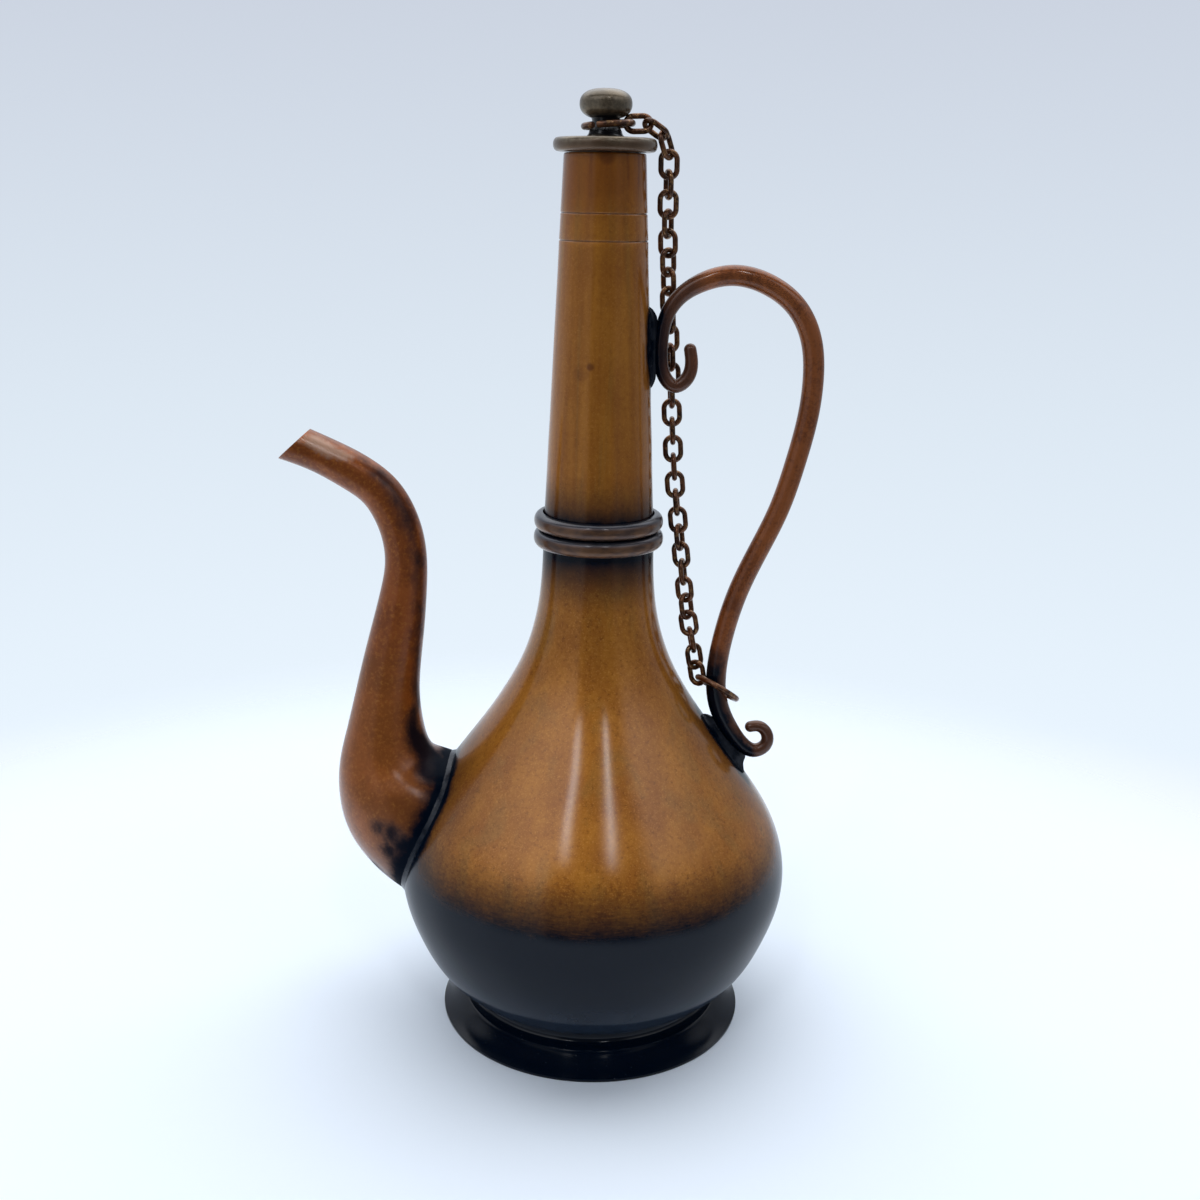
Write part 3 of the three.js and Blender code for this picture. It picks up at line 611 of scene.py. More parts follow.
above = BODY_TOP_Z + 0.3
neck_outline = [(SPIGOT_R, SPIGOT_LOW_Z), (SPIGOT_R, above), (neck_radius(above), above)]
for drop in GROOVE_DROPS:
    middle = MOUTH_Z - drop
    for z in np.arange(above + 2, middle - GROOVE_HALF - 0.2, 2):
        neck_outline.append((neck_radius(z), z))
    for share in (-1.35, -1, -0.6, -0.25, 0.25, 0.6, 1, 1.35):
        z = middle + share * GROOVE_HALF
        depth = GROOVE_DEPTH * max(0, math.cos(min(1, abs(share)) * math.pi / 2)) ** 0.7
        lip = 0.04 if abs(share) > 1 else 0
        neck_outline.append((neck_radius(z) - depth + lip, z))
    above = middle + 1.35 * GROOVE_HALF
for z in np.arange(above + 2, MOUTH_Z - 1, 2):
    neck_outline.append((neck_radius(z), z))
neck_outline += [
    (NECK_MOUTH_R, MOUTH_Z - 0.45), (NECK_MOUTH_R - 0.12, MOUTH_Z - 0.12), (NECK_MOUTH_R - 0.45, MOUTH_Z),
    (NECK_MOUTH_R - NECK_WALL, MOUTH_Z),
    (SPIGOT_R - NECK_WALL, BODY_TOP_Z + 1.5), (SPIGOT_R - NECK_WALL, SPIGOT_LOW_Z),
]
neck_points, neck_faces = turned(neck_outline, NECK_SEGMENTS)
neck_points = hand_worked(neck_points, depth=0.022, seed=9, longest=30, shortest=9)
neck = piece_of("neck", neck_points, neck_faces, amber_neck())
fitted(neck, "jar", "amber_copper", "neck_tube")

# Neck rings: two half-round copper rings that cover the seam between the neck and the body. They
# are soldered one on the other, and are browner than the body, with dark solder between them.
# The upper face of each carries a painted bluish reflection.
RING_HEIGHT = 4.75
RING_DEPTH = 2.3
RING_CLEARANCE = 0.3
LOWER_RING_Z = BODY_TOP_Z - 1.95
UPPER_RING_Z = LOWER_RING_Z + RING_HEIGHT + 0.12
RING_BROWN = (0.16, 0.083, 0.045, 1)
RING_UMBER = (0.075, 0.045, 0.036, 1)
RING_REFLECTION_BLUE = (0.03, 0.042, 0.06, 1)


def ring_copper(name, middle):
    finish = new_finish(name)
    rise = finish.along("Z") - middle
    clouds = finish.noise(5, 3, (1, 1, 2.5))
    mottle = finish.noise(0.9, 2)
    dark = finish.maths("ABSOLUTE", rise).ragged((mottle, 0.4)).fade(1.85, 2.35)
    # Painted reflection: the upper face of each ring is tinted blue.
    colour = finish.painted(
        RING_UMBER, (clouds.fade(0.35, 0.66), RING_BROWN),
        (rise.ragged((clouds, 1.2)).fade(0.7, 1.7) * 0.8, RING_REFLECTION_BLUE), (dark, BLACK_PATINA_AND_SHADE),
    )
    return finish.metal(colour, mottle * 0.02 + clouds * 0.06, {
        "Metallic": 0.7 - dark * 0.6,
        "Roughness": 0.32 + (clouds - 0.5) * 0.14,
        "IOR": PATINA_IOR,
        "Coat Weight": 0.5,
        "Coat IOR": LACQUER_IOR,
        "Coat Roughness": 0.12,
    })


def neck_ring(name, middle, bore):
    """A ring with a full face: a little flattened in the middle and tight at its edges"""
    outline = [(bore, middle - RING_HEIGHT / 2), (bore, middle + RING_HEIGHT / 2)]
    for share in np.linspace(math.pi / 2, -math.pi / 2, 26):
        out = RING_DEPTH * max(0, math.cos(share)) ** 0.8
        rise = RING_HEIGHT / 2 * math.copysign(abs(math.sin(share)) ** 0.92, share)
        outline.append((bore + 0.15 + out, middle + rise))
    points, faces = turned(outline, NECK_SEGMENTS)
    points = hand_worked(points, depth=0.03, seed=int(middle), longest=30, shortest=10)
    return piece_of(name, points, faces, ring_copper(name, middle), sharp=50)


for name, middle, radius in (("lower", LOWER_RING_Z, body_radius), ("upper", UPPER_RING_Z, neck_radius)):
    ring = neck_ring(name + "_ring", middle, radius(middle - RING_HEIGHT / 2) + RING_CLEARANCE)
    fitted(ring, "jar", "amber_copper", "neck_ring_" + name)

# Spout: a swan-necked tube of sheet copper with a pear-shaped base, cut obliquely at its lip. It
# is soldered over the hole in the body, and the heat has left it redder, with dark smudges.
RED_COPPER = (0.272, 0.073, 0.0145, 1)
DEEP_RED = (0.163, 0.041, 0.0075, 1)
ROSE_COPPER = (0.46, 0.3, 0.22, 1)
TIP_ORANGE = (0.42, 0.1, 0.02, 1)
SCORCHED_RED = (0.09, 0.028, 0.008, 1)
SMOKE = (0.022, 0.028, 0.036, 1)
SPOUT_ROWS = 190
SPOUT_SINK = 0.6
LIP_SWELL = 0.12
SPOUT_FADE = (128, 96)
TIP_SPOT = (-83.5, -3.4, 177)

# Marks on the spout: points of its worn, smoky and smeared lines and its scorched spots, with the
# reach of each
WORN_LINE = [
    (-83, -4, 176.6, 1.6), (-79, -4.1, 175.2, 2.2), (-74.5, -4.2, 173, 1.8), (-69.8, -3.7, 171.6, 1.2),
]
SMOKE_LINE = [
    (-66.5, -2.4, 170.4, 0.4), (-63.2, -3, 168, 1.1), (-59, -3.6, 163.2, 1.5), (-56, -3.8, 158, 1.8),
    (-54.2, -4, 153, 1.6), (-52.8, -4.2, 148, 0.8), (-51.6, -3.6, 140, 1.4), (-51.6, -3.6, 130, 1.6),
    (-52, -3.8, 118, 1.9), (-51.8, -3.6, 107, 2.2), (-51.2, -3, 99, 2.6),
]
SMEAR_LINE = [
    (-51, -3, 99, 0.8), (-53, -6.5, 94, 2.2), (-52.8, -6.6, 90, 3), (-51, -5.4, 86, 4), (-48.4, -5, 82, 5),
    (-48.6, -11, 79, 3.4),
]
SCORCHED = [
    (-62.2, -18.6, 65, 1.3), (-58.6, -19.8, 63.6, 2.2), (-55.4, -20.4, 60.6, 2.4), (-59.4, -19, 57.8, 2.2),
    (-57, -18.6, 53.6, 2.6), (-66, -9, 46.5, 4),
]


def spout_copper():
    finish = new_finish("spout_copper")
    clouds = finish.noise(13, 4, rough=0.6, bend=0.4)
    patches = finish.noise(5, 3)
    mottle = finish.noise(1.1, 3, rough=0.7)
    worn = finish.marked("from_worn").ragged((patches, 4), (mottle, 2))
    orange = finish.near(TIP_SPOT, 0.8, 3.4) * mottle.fade(0.3, 0.6)
    smoky = finish.marked("from_smoke").ragged((patches, 4), (clouds, 3), (mottle, 1))
    smear = finish.marked("from_smear").ragged((patches, 3), (mottle, 1.2))
    smoky = finish.greatest(smoky.fade(2.6, -2.2) * 0.75, smear.fade(2.8, -1.8))
    seam = finish.marked("from_seam").ragged((patches, 3.4), (mottle, 1.6))
    colour = finish.painted(
        DEEP_RED, ((clouds * 0.7 + mottle * 0.3).fade(0.36, 0.62), RED_COPPER),
        (finish.along("Z").ragged((clouds, 40)).fade(*SPOUT_FADE) * 0.15, WARM_AMBER),
        (mottle.fade(0.5, 0.78) * 0.3, BRIGHT_AMBER),
        (worn.fade(1, -1.4) * 0.75, ROSE_COPPER), (orange * 0.7, TIP_ORANGE),
        (smoky * 0.6, SMOKE), (seam.fade(20, 5) * 0.55, SCORCHED_RED),
    )
    kept = seam.fade(2.8, 7.4) * (1 - smoky * 0.92)
    return lacquered(finish, colour, 1 - kept, patches, mottle * 0.018 + clouds * 0.1, 0.24, matt=0.92)


outside = cut_at_body(spout_skin, SPOUT_SINK, SPOUT_ROWS)
inside = cut_at_body(spout_bore, SPOUT_SINK, SPOUT_ROWS // 3)
swell = (outside[0] - outside[1]) * LIP_SWELL
lip = [outside[0] * share + inside[0] * (1 - share) + swell for share in (0.75, 0.25)]
spout_loop = [*outside[::-1], *lip, *inside]
spout = piece_of("spout", *skin(spout_loop, closed=True), spout_copper(), sharp=50)
mark_distance(spout, "from_seam", seam_line)
mark_distance(spout, "from_worn", smooth_line(WORN_LINE, 24))
mark_distance(spout, "from_smoke", smooth_line(SMOKE_LINE, 90))
mark_distance(spout, "from_smear", [*smooth_line(SMEAR_LINE, 60), *SCORCHED])
fitted(spout, "jar", "red_copper", "spout_tube")

# Spout seam: the fillet of solder that runs round the spout's base where it meets the body. It
# is black like the metal beside it, and blue-grey in patches.
SEAM_REACH = 1.15
SEAM_SINK = 0.18
SEAM_HOLLOW = 0.3
SEAM_ROOT = 0.9
SOLDER_BLUE = (0.017, 0.021, 0.03, 1)


def blackened_solder(name):
    finish = new_finish(name)
    lumps = finish.noise(3.5, 3)
    grain = finish.noise(0.8, 2)
    colour = finish.painted(BLACK_PATINA_AND_SHADE, (lumps.fade(0.35, 0.6) * 0.8, SOLDER_BLUE))
    return finish.metal(colour, lumps * 0.12 + grain * 0.02, {
        "Metallic": 0.15,
        "Roughness": 0.24 + (lumps - 0.5) * 0.2,
        "IOR": PATINA_IOR,
    })


def bent(start, corner, end, count):
    """Points of the curve that a corner draws from its start to its end"""
    start, corner, end = np.array(start), np.array(corner), np.array(end)
    shares = np.linspace(0, 1, count)
    return [(1 - t) ** 2 * start + 2 * (1 - t) * t * corner + t ** 2 * end for t in shares]


rim = cut_at_body(spout_skin, 0, SPOUT_ROWS)
run = unit(np.roll(seam_line, -1, axis=0) - np.roll(seam_line, 1, axis=0))
up_spout = rim[-4] - rim[-1]
up_spout = unit(up_spout - run * np.sum(up_spout * run, axis=1)[:, None])
slope = body_radius(seam_line[:, 2] + 0.5) - body_radius(seam_line[:, 2] - 0.5)
fall = slope * np.hypot(seam_line[:, 0], seam_line[:, 1])
body_out = unit(stacked(seam_line[:, 0], seam_line[:, 1], -fall))
off_spout = np.cross(run, body_out)
away = seam_line - seam_line.mean(axis=0)
off_spout *= np.sign(np.sum(off_spout * away, axis=1))[:, None]
on_spout = seam_line + up_spout * SEAM_REACH
on_body = seam_line + off_spout * SEAM_REACH - body_out * SEAM_SINK
corner = seam_line + (up_spout + off_spout) * SEAM_HOLLOW
fillet = bent(on_spout, corner, on_body, 7)
fillet.append(seam_line - body_out * SEAM_ROOT)
fillet.append(seam_line + up_spout * SEAM_REACH * 0.5 - off_spout * 0.5)
seam_rings = np.stack(fillet, axis=1)
seam = piece_of("spout_seam", *skin(seam_rings, closed=True), blackened_solder("seam_solder"), sharp=60)
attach(seam, "jar")

# Handle: one round copper rod, drawn thinner at both ends and bent to a scroll at each, so that
# one lies along the neck and the other on the body's shoulder. Its tips are rounded.
ROD_R = 2.95
SCROLL_R = 1.95
HANDLE_REACH = 58.88
SCROLL_GAP = 1.15
SCROLL_X = neck_radius(203) + SCROLL_GAP + SCROLL_R
SHOULDER_X = body_radius(88)

# Points of the rod's middle from its upper tip to its lower one: how far out from the scroll's
# back, from the bow's reach or from the shoulder, the height, and the radius where it is thinner
UPPER_SCROLL = [
    (8, 202.4, 1.75), (8.5, 198.2, 1.85), (7.2, 194.2, 1.95), (4.1, 192.3, 1.95),
    (1.1, 194.9, 1.95), (0, 199.2, 1.95), (0, 205, 1.95), (1.2, 211.4, 2.05), (4.9, 216.9, 2.25),
    (10.2, 220.4, 2.6),
]
BOW = [
    (-23.3, 222.6, 2.85), (-13.7, 220.3), (-5.7, 214.4), (-1.2, 205.7), (0, 195.8), (-0.7, 185.5),
    (-3.6, 171.5), (-7.6, 157.8), (-12.9, 145.6), (-18, 133.6),
]
LOWER_SCROLL = [
    (0.7, 121.8), (-1.1, 111), (-1.2, 103.4), (0.5, 96.1, 2.9), (4, 89.8, 2.65), (7.4, 85.8, 2.35),
    (11.1, 84.1, 2.1), (14.2, 85.8, 1.95), (14.5, 89.4, 1.8), (11.9, 91.8, 1.7), (9.5, 91.6, 1.65),
]
ROD_STEPS = 340
ROD_SIDES = 36
ROD_BROWN = (0.265, 0.084, 0.026, 1)
ROD_UMBER = (0.14, 0.043, 0.016, 1)
ROD_TAN = (0.075, 0.034, 0.022, 1)
BRAZE_REACH = 2.2
BRAZE_HEADING = math.radians(55)
NECK_BRAZE_REACH = 2.6
UPPER_FADE = (150, 170)
LOWER_FADE = (150, 130)
TAN_FADE = (122, 100)
SCROLL_FADE = (221, 211)
INNER_SHADE_FADE = (119, 110)


class Growth(Nodes):
    """A Geometry Nodes tree and the values that it is given"""

    def __init__(self, name, sockets):
        super().__init__(bpy.data.node_groups.new(name, "GeometryNodeTree"))
        face = self.tree.interface
        for label, kind in sockets.items():
            face.new_socket(label, in_out="INPUT", socket_type="NodeSocket" + kind)
        face.new_socket("Mesh", in_out="OUTPUT", socket_type="NodeSocketGeometry")
        given = self.tree.nodes.new("NodeGroupInput").outputs
        self.given = {label: Value(self, given[label]) for label in sockets}

    def circle(self, sides, radius):
        sizes = {"Resolution": sides, "Radius": radius}
        return self.node("GeometryNodeCurvePrimitiveCircle", sizes)

    def ended(self, mesh):
        """The tree; it makes the mesh smooth and plain and gives it its finish"""
        for kind in ("GeometryNodeSetShadeSmooth", "GeometryNodeRealizeInstances"):
            mesh = self.node(kind, {"Geometry": mesh})
        inputs = {"Geometry": mesh, "Material": self.given["Finish"]}
        mesh = self.node("GeometryNodeSetMaterial", inputs)
        self.tree.links.new(mesh.socket, self.tree.nodes.new("NodeGroupOutput").inputs["Mesh"])
        return self.tree


def rod_tree():
    """A round rod along a line of points, each of which carries the rod's radius there"""
    growth = Growth("rod_along_path", {"Path": "Geometry", "Sides": "Int", "Finish": "Material"})
    return growth.ended(growth.node("GeometryNodeCurveToMesh", {
        "Curve": growth.node("GeometryNodeMeshToCurve", {"Mesh": growth.given["Path"]}),
        "Profile Curve": growth.circle(growth.given["Sides"], 1),
        "Scale": growth.node("GeometryNodeInputNamedAttribute", {"Name": "rod_radius"}, data_type="FLOAT"),
        "Fill Caps": True,
    }))


rod_along_path = rod_tree()


def grown(name, tree, base, inputs):
    """The plain mesh that a Geometry Nodes tree makes of a base mesh, as an object"""
    carrier = linked(name + "_base", base)
    growth = carrier.modifiers.new("growth", "NODES")
    growth.node_group = tree
    for item in tree.interface.items_tree:
        if item.name in inputs:
            growth[item.identifier] = inputs[item.name]
    return linked(name, cleaned(plain_mesh(name, carrier)))


def rod_of(name, line, finish, closed=False, sides=ROD_SIDES):
    """A rod along a line of x, y, z and radius, in millimetres about the jar's axis"""
    base = bpy.data.meshes.new(name + "_path")
    count = len(line)
    edges = [(k, (k + 1) % count) for k in range(count if closed else count - 1)]
    base.from_pydata([placed(spot) for spot in line], edges, [])
    radii = np.array(line, np.float32)[:, 3] * MM
    base.attributes.new("rod_radius", "FLOAT", "POINT").data.foreach_set("value", radii)
    return grown(name, rod_along_path, base, {"Sides": sides, "Finish": finish})


def rounded_tips(line):
    """A rod's line with a half ball added at each end"""
    steps = np.sin(np.linspace(0.2, math.pi / 2 - 0.04, 6))
    caps = []
    for end, before in ((0, 1), (-1, -2)):
        tip, radius = line[end, :3], line[end, 3]
        heading = unit(tip - line[before, :3])
        spots = [tip + heading * radius * step for step in steps]
        caps.append([(*spot, radius * math.sqrt(1 - step * step)) for spot, step in zip(spots, steps)])
    return [*caps[0][::-1], *line, *caps[1]]


def handle_copper():
    finish = new_finish("handle_copper")
    x, z = finish.along("X"), finish.along("Z")
    clouds = finish.noise(12, 4, rough=0.6)
    patches = finish.noise(4, 3)
    mottle = finish.noise(0.8, 2, rough=0.7)
    braze = finish.marked("from_braze").ragged((patches, 2.4), (mottle, 0.8))
    heat = (braze - z.fade(*LOWER_FADE) * 1.4).fade(3.2, 2.2)
    # Painted shade: the rod's side that faces the body, below about 119 mm, is blackened.
    inner_shade = finish.marked("from_inner").ragged((patches, 1.6)).fade(6, 4.4)
    inner_shade = inner_shade * z.ragged((patches, 8)).fade(*INNER_SHADE_FADE)
    upper = z.fade(*UPPER_FADE)
    tanned = x.fade(SCROLL_X + 14, SCROLL_X + 7) * upper
    tanned = finish.greatest(z.ragged((clouds, 20)).fade(*TAN_FADE), tanned)
    # The scroll's side next to the neck is blackened: partly braze blackening, partly painted shade in the
    # narrow slot between scroll and neck.
    scroll = x.ragged((patches, 3)).fade(SCROLL_X + 3, SCROLL_X - 0.6)
    scroll = scroll * z.ragged((patches, 6)).fade(*SCROLL_FADE) * upper * 0.85
    colour = finish.painted(
        ROD_UMBER, ((clouds * 0.6 + mottle * 0.4).fade(0.38, 0.6), ROD_BROWN),
        (tanned * 0.85, ROD_TAN),
    )
    dark = finish.greatest(heat, scroll, inner_shade)
    return lacquered(finish, colour, dark, clouds, mottle * 0.02 + patches * 0.05)


def rod_stretch(low, high, reach):
    """The points in the middle of the rod between two heights and no further out than a reach"""
    kept = (rod_line[:, 2] > low) & (rod_line[:, 2] < high) & (rod_line[:, 0] < reach)
    return rod_line[kept][:, :3]


rod_points = []
for out, spine in ((SCROLL_X, UPPER_SCROLL), (HANDLE_REACH, BOW), (SHOULDER_X, LOWER_SCROLL)):
    rod_points += [(out + dx, 0, z, *(radius or [ROD_R])) for dx, z, *radius in spine]
rod_line = smooth_line(rod_points, ROD_STEPS)
handle = rod_of("handle", rounded_tips(rod_line), handle_copper())
low_bend = rod_stretch(0, 97, SHOULDER_X + 8.6)
low_bend -= (BRAZE_REACH * math.cos(BRAZE_HEADING), 0, BRAZE_REACH * math.sin(BRAZE_HEADING))
along_neck = rod_stretch(196, 213, SCROLL_X + 1.5) - (NECK_BRAZE_REACH, 0, 0)
mark_distance(handle, "from_braze", [*low_bend, *along_neck])
# Points along the rod's side facing the body, for the painted shade on that side.
shaded_side = rod_stretch(0, 135, SHOULDER_X + 9)
falls = np.clip((100 - shaded_side[:, 2]) / 14, 0, 1)
shaded_side -= stacked(3.2 - 0.9 * falls, 0, 0.5 + 2.1 * falls)
mark_distance(handle, "from_inner", shaded_side)
fitted(handle, "jar", "red_copper", "handle_rod")

# Saddle and pad: the handle is brazed to the neck and to the body's shoulder, each through a
# small piece of copper that the braze has filled out to a hollow-sided web, black as the seam.
WEB_STEPS = 9
WEB_HOLLOW = 3
SADDLE_LOW_Z = 191.4
SADDLE_HEIGHT = 22.6

# Rows of the pad from its upper end to its lower one: the foot's height, how far out from the
# shoulder and how high the rod's side is, and the half widths at the foot and at the rod
PAD_ROWS = [
    (95.2, -4.1, 95.4, 0.3, 0.2), (93.6, -2.2, 94.6, 1.5, 0.7), (91.4, -0.9, 92.9, 2.4, 0.9),
    (88.9, 1.1, 89.9, 2.9, 1), (86.3, 3.8, 86.9, 3.1, 1), (83.9, 6.8, 84.5, 2.9, 0.9),
    (81.7, 8.4, 82.6, 2.4, 0.8), (79.9, 8, 80.7, 1.7, 0.5), (78.3, 8, 79, 0.9, 0.3),
    (76.8, 8.4, 77, 0.3, 0.2),
]


def brazed_web(name, rows, finish):
    """A web from rows of: foot x and z, rod x and z, half widths at both, and the radius of
    what the foot stands on"""
    flank = np.linspace(0, 1, WEB_STEPS)
    rings = []
    for foot_x, foot_z, top_x, top_z, foot_half, top_half, radius in rows:
        half = top_half + (foot_half - top_half) * (1 - flank) ** WEB_HOLLOW
        base = foot_x - half ** 2 / (2 * radius)
        x = base * (1 - flank) + top_x * flank
        z = foot_z * (1 - flank) + top_z * flank
        rings.append(np.concatenate([stacked(x, half, z), stacked(x, -half, z)[::-1]]))
    return piece_of(name, *skin(rings), finish, sharp=55)


saddle_rows = []
for share in np.linspace(0, 1, 27):
    z = SADDLE_LOW_Z + SADDLE_HEIGHT * share
    swell = max(0, 1 - abs(2 * share - 1) ** 2.2)
    foot_x = neck_radius(z) - 0.25
    top_x = foot_x + 0.1 + (SCROLL_X - SCROLL_R * 0.72 - foot_x) * min(1, 2 * swell) ** 0.7
    saddle_rows.append((foot_x, z, top_x, z, 0.3 + 4.2 * swell, 0.2 + 1 * swell, neck_radius(z)))
saddle = brazed_web("upper_saddle", saddle_rows, blackened_solder("saddle_braze"))
fitted(saddle, "jar", "blackened_copper", "handle_upper_bracket")

pad_rows = []
for z, top, top_z, half, top_half in PAD_ROWS:
    pad_rows.append((body_radius(z) - 0.3, z, SHOULDER_X + top, top_z, half, top_half, body_radius(z)))
pad_rows = smooth_line(pad_rows, 40)
pad = brazed_web("lower_pad", pad_rows, blackened_solder("pad_braze"))
fitted(pad, "jar", "blackened_copper", "handle_lower_bracket")


def foot_of(rows):
    """Points along the middle and both sides of a web's foot"""
    return [(row[0], side * row[4] * 0.8, row[1]) for row in rows for side in (-1, 0, 1)]


mark_distance(body, "from_seam", [*seam_line, *foot_of(pad_rows)])
mark_distance(neck, "from_saddle", foot_of(saddle_rows))

# Lid: a cast bronze disc with a half-round edge and a small collar, a stemmed knob whose pin is
# set in it, and a sleeve under it that enters the mouth. It is olive grey, with painted shade
# darkening it round the stem under the knob.
DISC_R = NECK_MOUTH_R + 2.86
DISC_LOW_Z = MOUTH_Z + 0.3
DISC_TOP_Z = DISC_LOW_Z + 3.6
COLLAR_TOP_Z = DISC_LOW_Z + 5.3
KNOB_Z = DISC_LOW_Z + 12.1
KNOB_R = 7
KNOB_HALF = 3.9
PLUG_R = NECK_MOUTH_R - NECK_WALL - 0.35
PLUG_WALL = 1
PLUG_HEIGHT = 12.2
LID_SEGMENTS = 144
PIN_HOLE_R = 2.2
PIN_R = 2
STEM_R = 3.4
OLIVE = (0.17, 0.132, 0.085, 1)
OLIVE_DARK = (0.08, 0.062, 0.04, 1)
OLIVE_BROWN = (0.1, 0.053, 0.026, 1)


def lid_bronze():
    finish = new_finish("lid_bronze")
    clouds = finish.noise(6, 4, rough=0.6)
    mottle = finish.noise(0.7, 3, rough=0.7)
    low = finish.along("Z").ragged((clouds, 5)).fade(DISC_TOP_Z - 0.4, DISC_LOW_Z + 1.2)
    # Painted shade: round the stem, under the knob, the bronze is blackened.
    stem = finish.marked("from_stem").ragged((clouds, 1.6)).fade(2.4, 1.2)
    colour = finish.painted(
        OLIVE_DARK, ((clouds * 0.6 + mottle * 0.4).fade(0.38, 0.62), OLIVE),
        (low * 0.8, OLIVE_BROWN), (stem * 0.95, BLACK_PATINA_AND_SHADE),
    )
    return finish.metal(colour, mottle * 0.022 + clouds * 0.05, {
        "Metallic": 0.65 - stem * 0.5,
        "Roughness": 0.36 + (mottle - 0.5) * 0.16,
        "Coat Weight": 0.35,
        "Coat Roughness": 0.2,
    })


bronze = lid_bronze()
disc_edge = [
    (DISC_R - 2 + 2 * math.cos(a) ** 0.55, DISC_LOW_Z + 1.8 + 1.8 * math.sin(a))
    for a in np.linspace(-math.pi / 2 + 0.02, math.pi / 2 - 0.02, 21)
]
collar = smooth_line(
    [(5.7, DISC_TOP_Z + 0.1), (5, DISC_TOP_Z + 0.45), (4.6, DISC_TOP_Z + 0.9), (4.35, COLLAR_TOP_Z)], 8
)
disc_outline = [
    (0, DISC_LOW_Z), *disc_edge, (8, DISC_TOP_Z + 0.03), (6.4, DISC_TOP_Z + 0.08), *collar,
    (PIN_HOLE_R, COLLAR_TOP_Z), (PIN_HOLE_R, COLLAR_TOP_Z - 2.9), (0, COLLAR_TOP_Z - 2.9),
]
disc = piece_of("lid_top", *turned(disc_outline, LID_SEGMENTS), bronze, sharp=45)
knob_side = [
    (KNOB_R * math.cos(a) ** 0.74, KNOB_Z + KNOB_HALF * math.copysign(abs(math.sin(a)) ** 0.87, a))
    for a in np.linspace(math.radians(-64), math.pi / 2, 44)
][:-1]
stem = [(4.3, 0.05), (3.75, 1.2), (3.6, 2.3), (3.85, 3.3)]
knob_outline = [
    (0, COLLAR_TOP_Z - 2.6), (PIN_R, COLLAR_TOP_Z - 2.6), (PIN_R, COLLAR_TOP_Z + 0.05),
    *smooth_line([(r, COLLAR_TOP_Z + rise) for r, rise in stem], 10), *knob_side,
    (0, KNOB_Z + KNOB_HALF),
]
knob = piece_of("lid_handle", *turned(knob_outline, LID_SEGMENTS), bronze, sharp=40)
plug_in = PLUG_R - PLUG_WALL
plug_low = DISC_LOW_Z - PLUG_HEIGHT
plug_outline = [
    *bent((plug_in, plug_low + 0.3), (plug_in, plug_low), (plug_in + 0.3, plug_low), 6),
    *bent((PLUG_R - 0.48, plug_low), (PLUG_R, plug_low), (PLUG_R, plug_low + 0.6), 6),
    (PLUG_R, DISC_LOW_Z - 0.02), (plug_in, DISC_LOW_Z - 0.02),
]
plug = piece_of("lid_sleeve", *turned(plug_outline, LID_SEGMENTS), bronze, sharp=40)
stem_line = [(0, 0, z, STEM_R) for z in np.linspace(COLLAR_TOP_Z - 1, COLLAR_TOP_Z + 3.2, 9)]
for piece, node in ((disc, "lid_disc"), (knob, "lid_knob"), (plug, "lid_plug")):
    mark_distance(piece, "from_stem", stem_line)
    fitted(piece, "lid", "bronze", node)

# Lid ring: a ring of stout wire, left open at one side, that hangs loosely round the stem. It is
# the chain's upper end. Wear has brought up brass on its crests and left the rest dark brown.
LID_RING_R = 6.4
LID_RING_WIRE = 0.9
LID_RING_TAPER = 0.86
LID_RING_X = 0.7
LID_RING_Z = DISC_LOW_Z + 6.9
LID_RING_TILT = math.radians(4.5)
LID_RING_HALF_GAP = 6
LID_RING_GAP_AT = -122
RING_SIDES = 24
WIRE_BROWN = (0.15, 0.06, 0.027, 1)
WIRE_DARK = (0.05, 0.022, 0.013, 1)
WIRE_BRASS = (0.33, 0.185, 0.075, 1)


def chain_wire():
    finish = new_finish("chain_wire")
    patches = finish.noise(3.2, 3, rough=0.6)
    mottle = finish.noise(0.6, 2)
    worn = (finish.noise(1.7, 3) * 0.65 + mottle * 0.35).fade(0.5, 0.64)
    colour = finish.painted(
        WIRE_DARK, (patches.fade(0.36, 0.6), WIRE_BROWN), (worn * 0.75, WIRE_BRASS)
    )
    return finish.metal(colour, mottle * 0.03, {
        "Metallic": 0.8,
        "Roughness": 0.36 + (patches - 0.5) * 0.2,
        "Coat Weight": 0.3,
        "Coat Roughness": 0.2,
    })


wire_finish = chain_wire()
gap_turn = np.linspace(LID_RING_GAP_AT + LID_RING_HALF_GAP, LID_RING_GAP_AT + 360 - LID_RING_HALF_GAP, 96)
ring_line = []
for a in np.radians(gap_turn):
    out, y = circle_point(LID_RING_R, a)
    across, up = circle_point(out, LID_RING_TILT)
    ring_line.append([LID_RING_X + across, y, LID_RING_Z + up, LID_RING_WIRE])
for end in (0, -1):
    ring_line[end][3] *= LID_RING_TAPER
lid_ring = rod_of("stem_ring", ring_line, wire_finish, sides=RING_SIDES)
fitted(lid_ring, "lid_ring", "chain_wire", "lid_ring")

# Chain: oval links, each bent from brass wire round the one before and closed with a butt joint.
# It hangs from the lid's ring over the disc's edge, behind the handle's scroll, to the shoulder.
LINK_LENGTH = 8.3
LINK_WIDTH = 5.85
LINK_WIRE = 0.75
LINK_ROUND_STEPS = 9
LINK_SIDES = 14
LINK_BEND_ROOM = 1.02


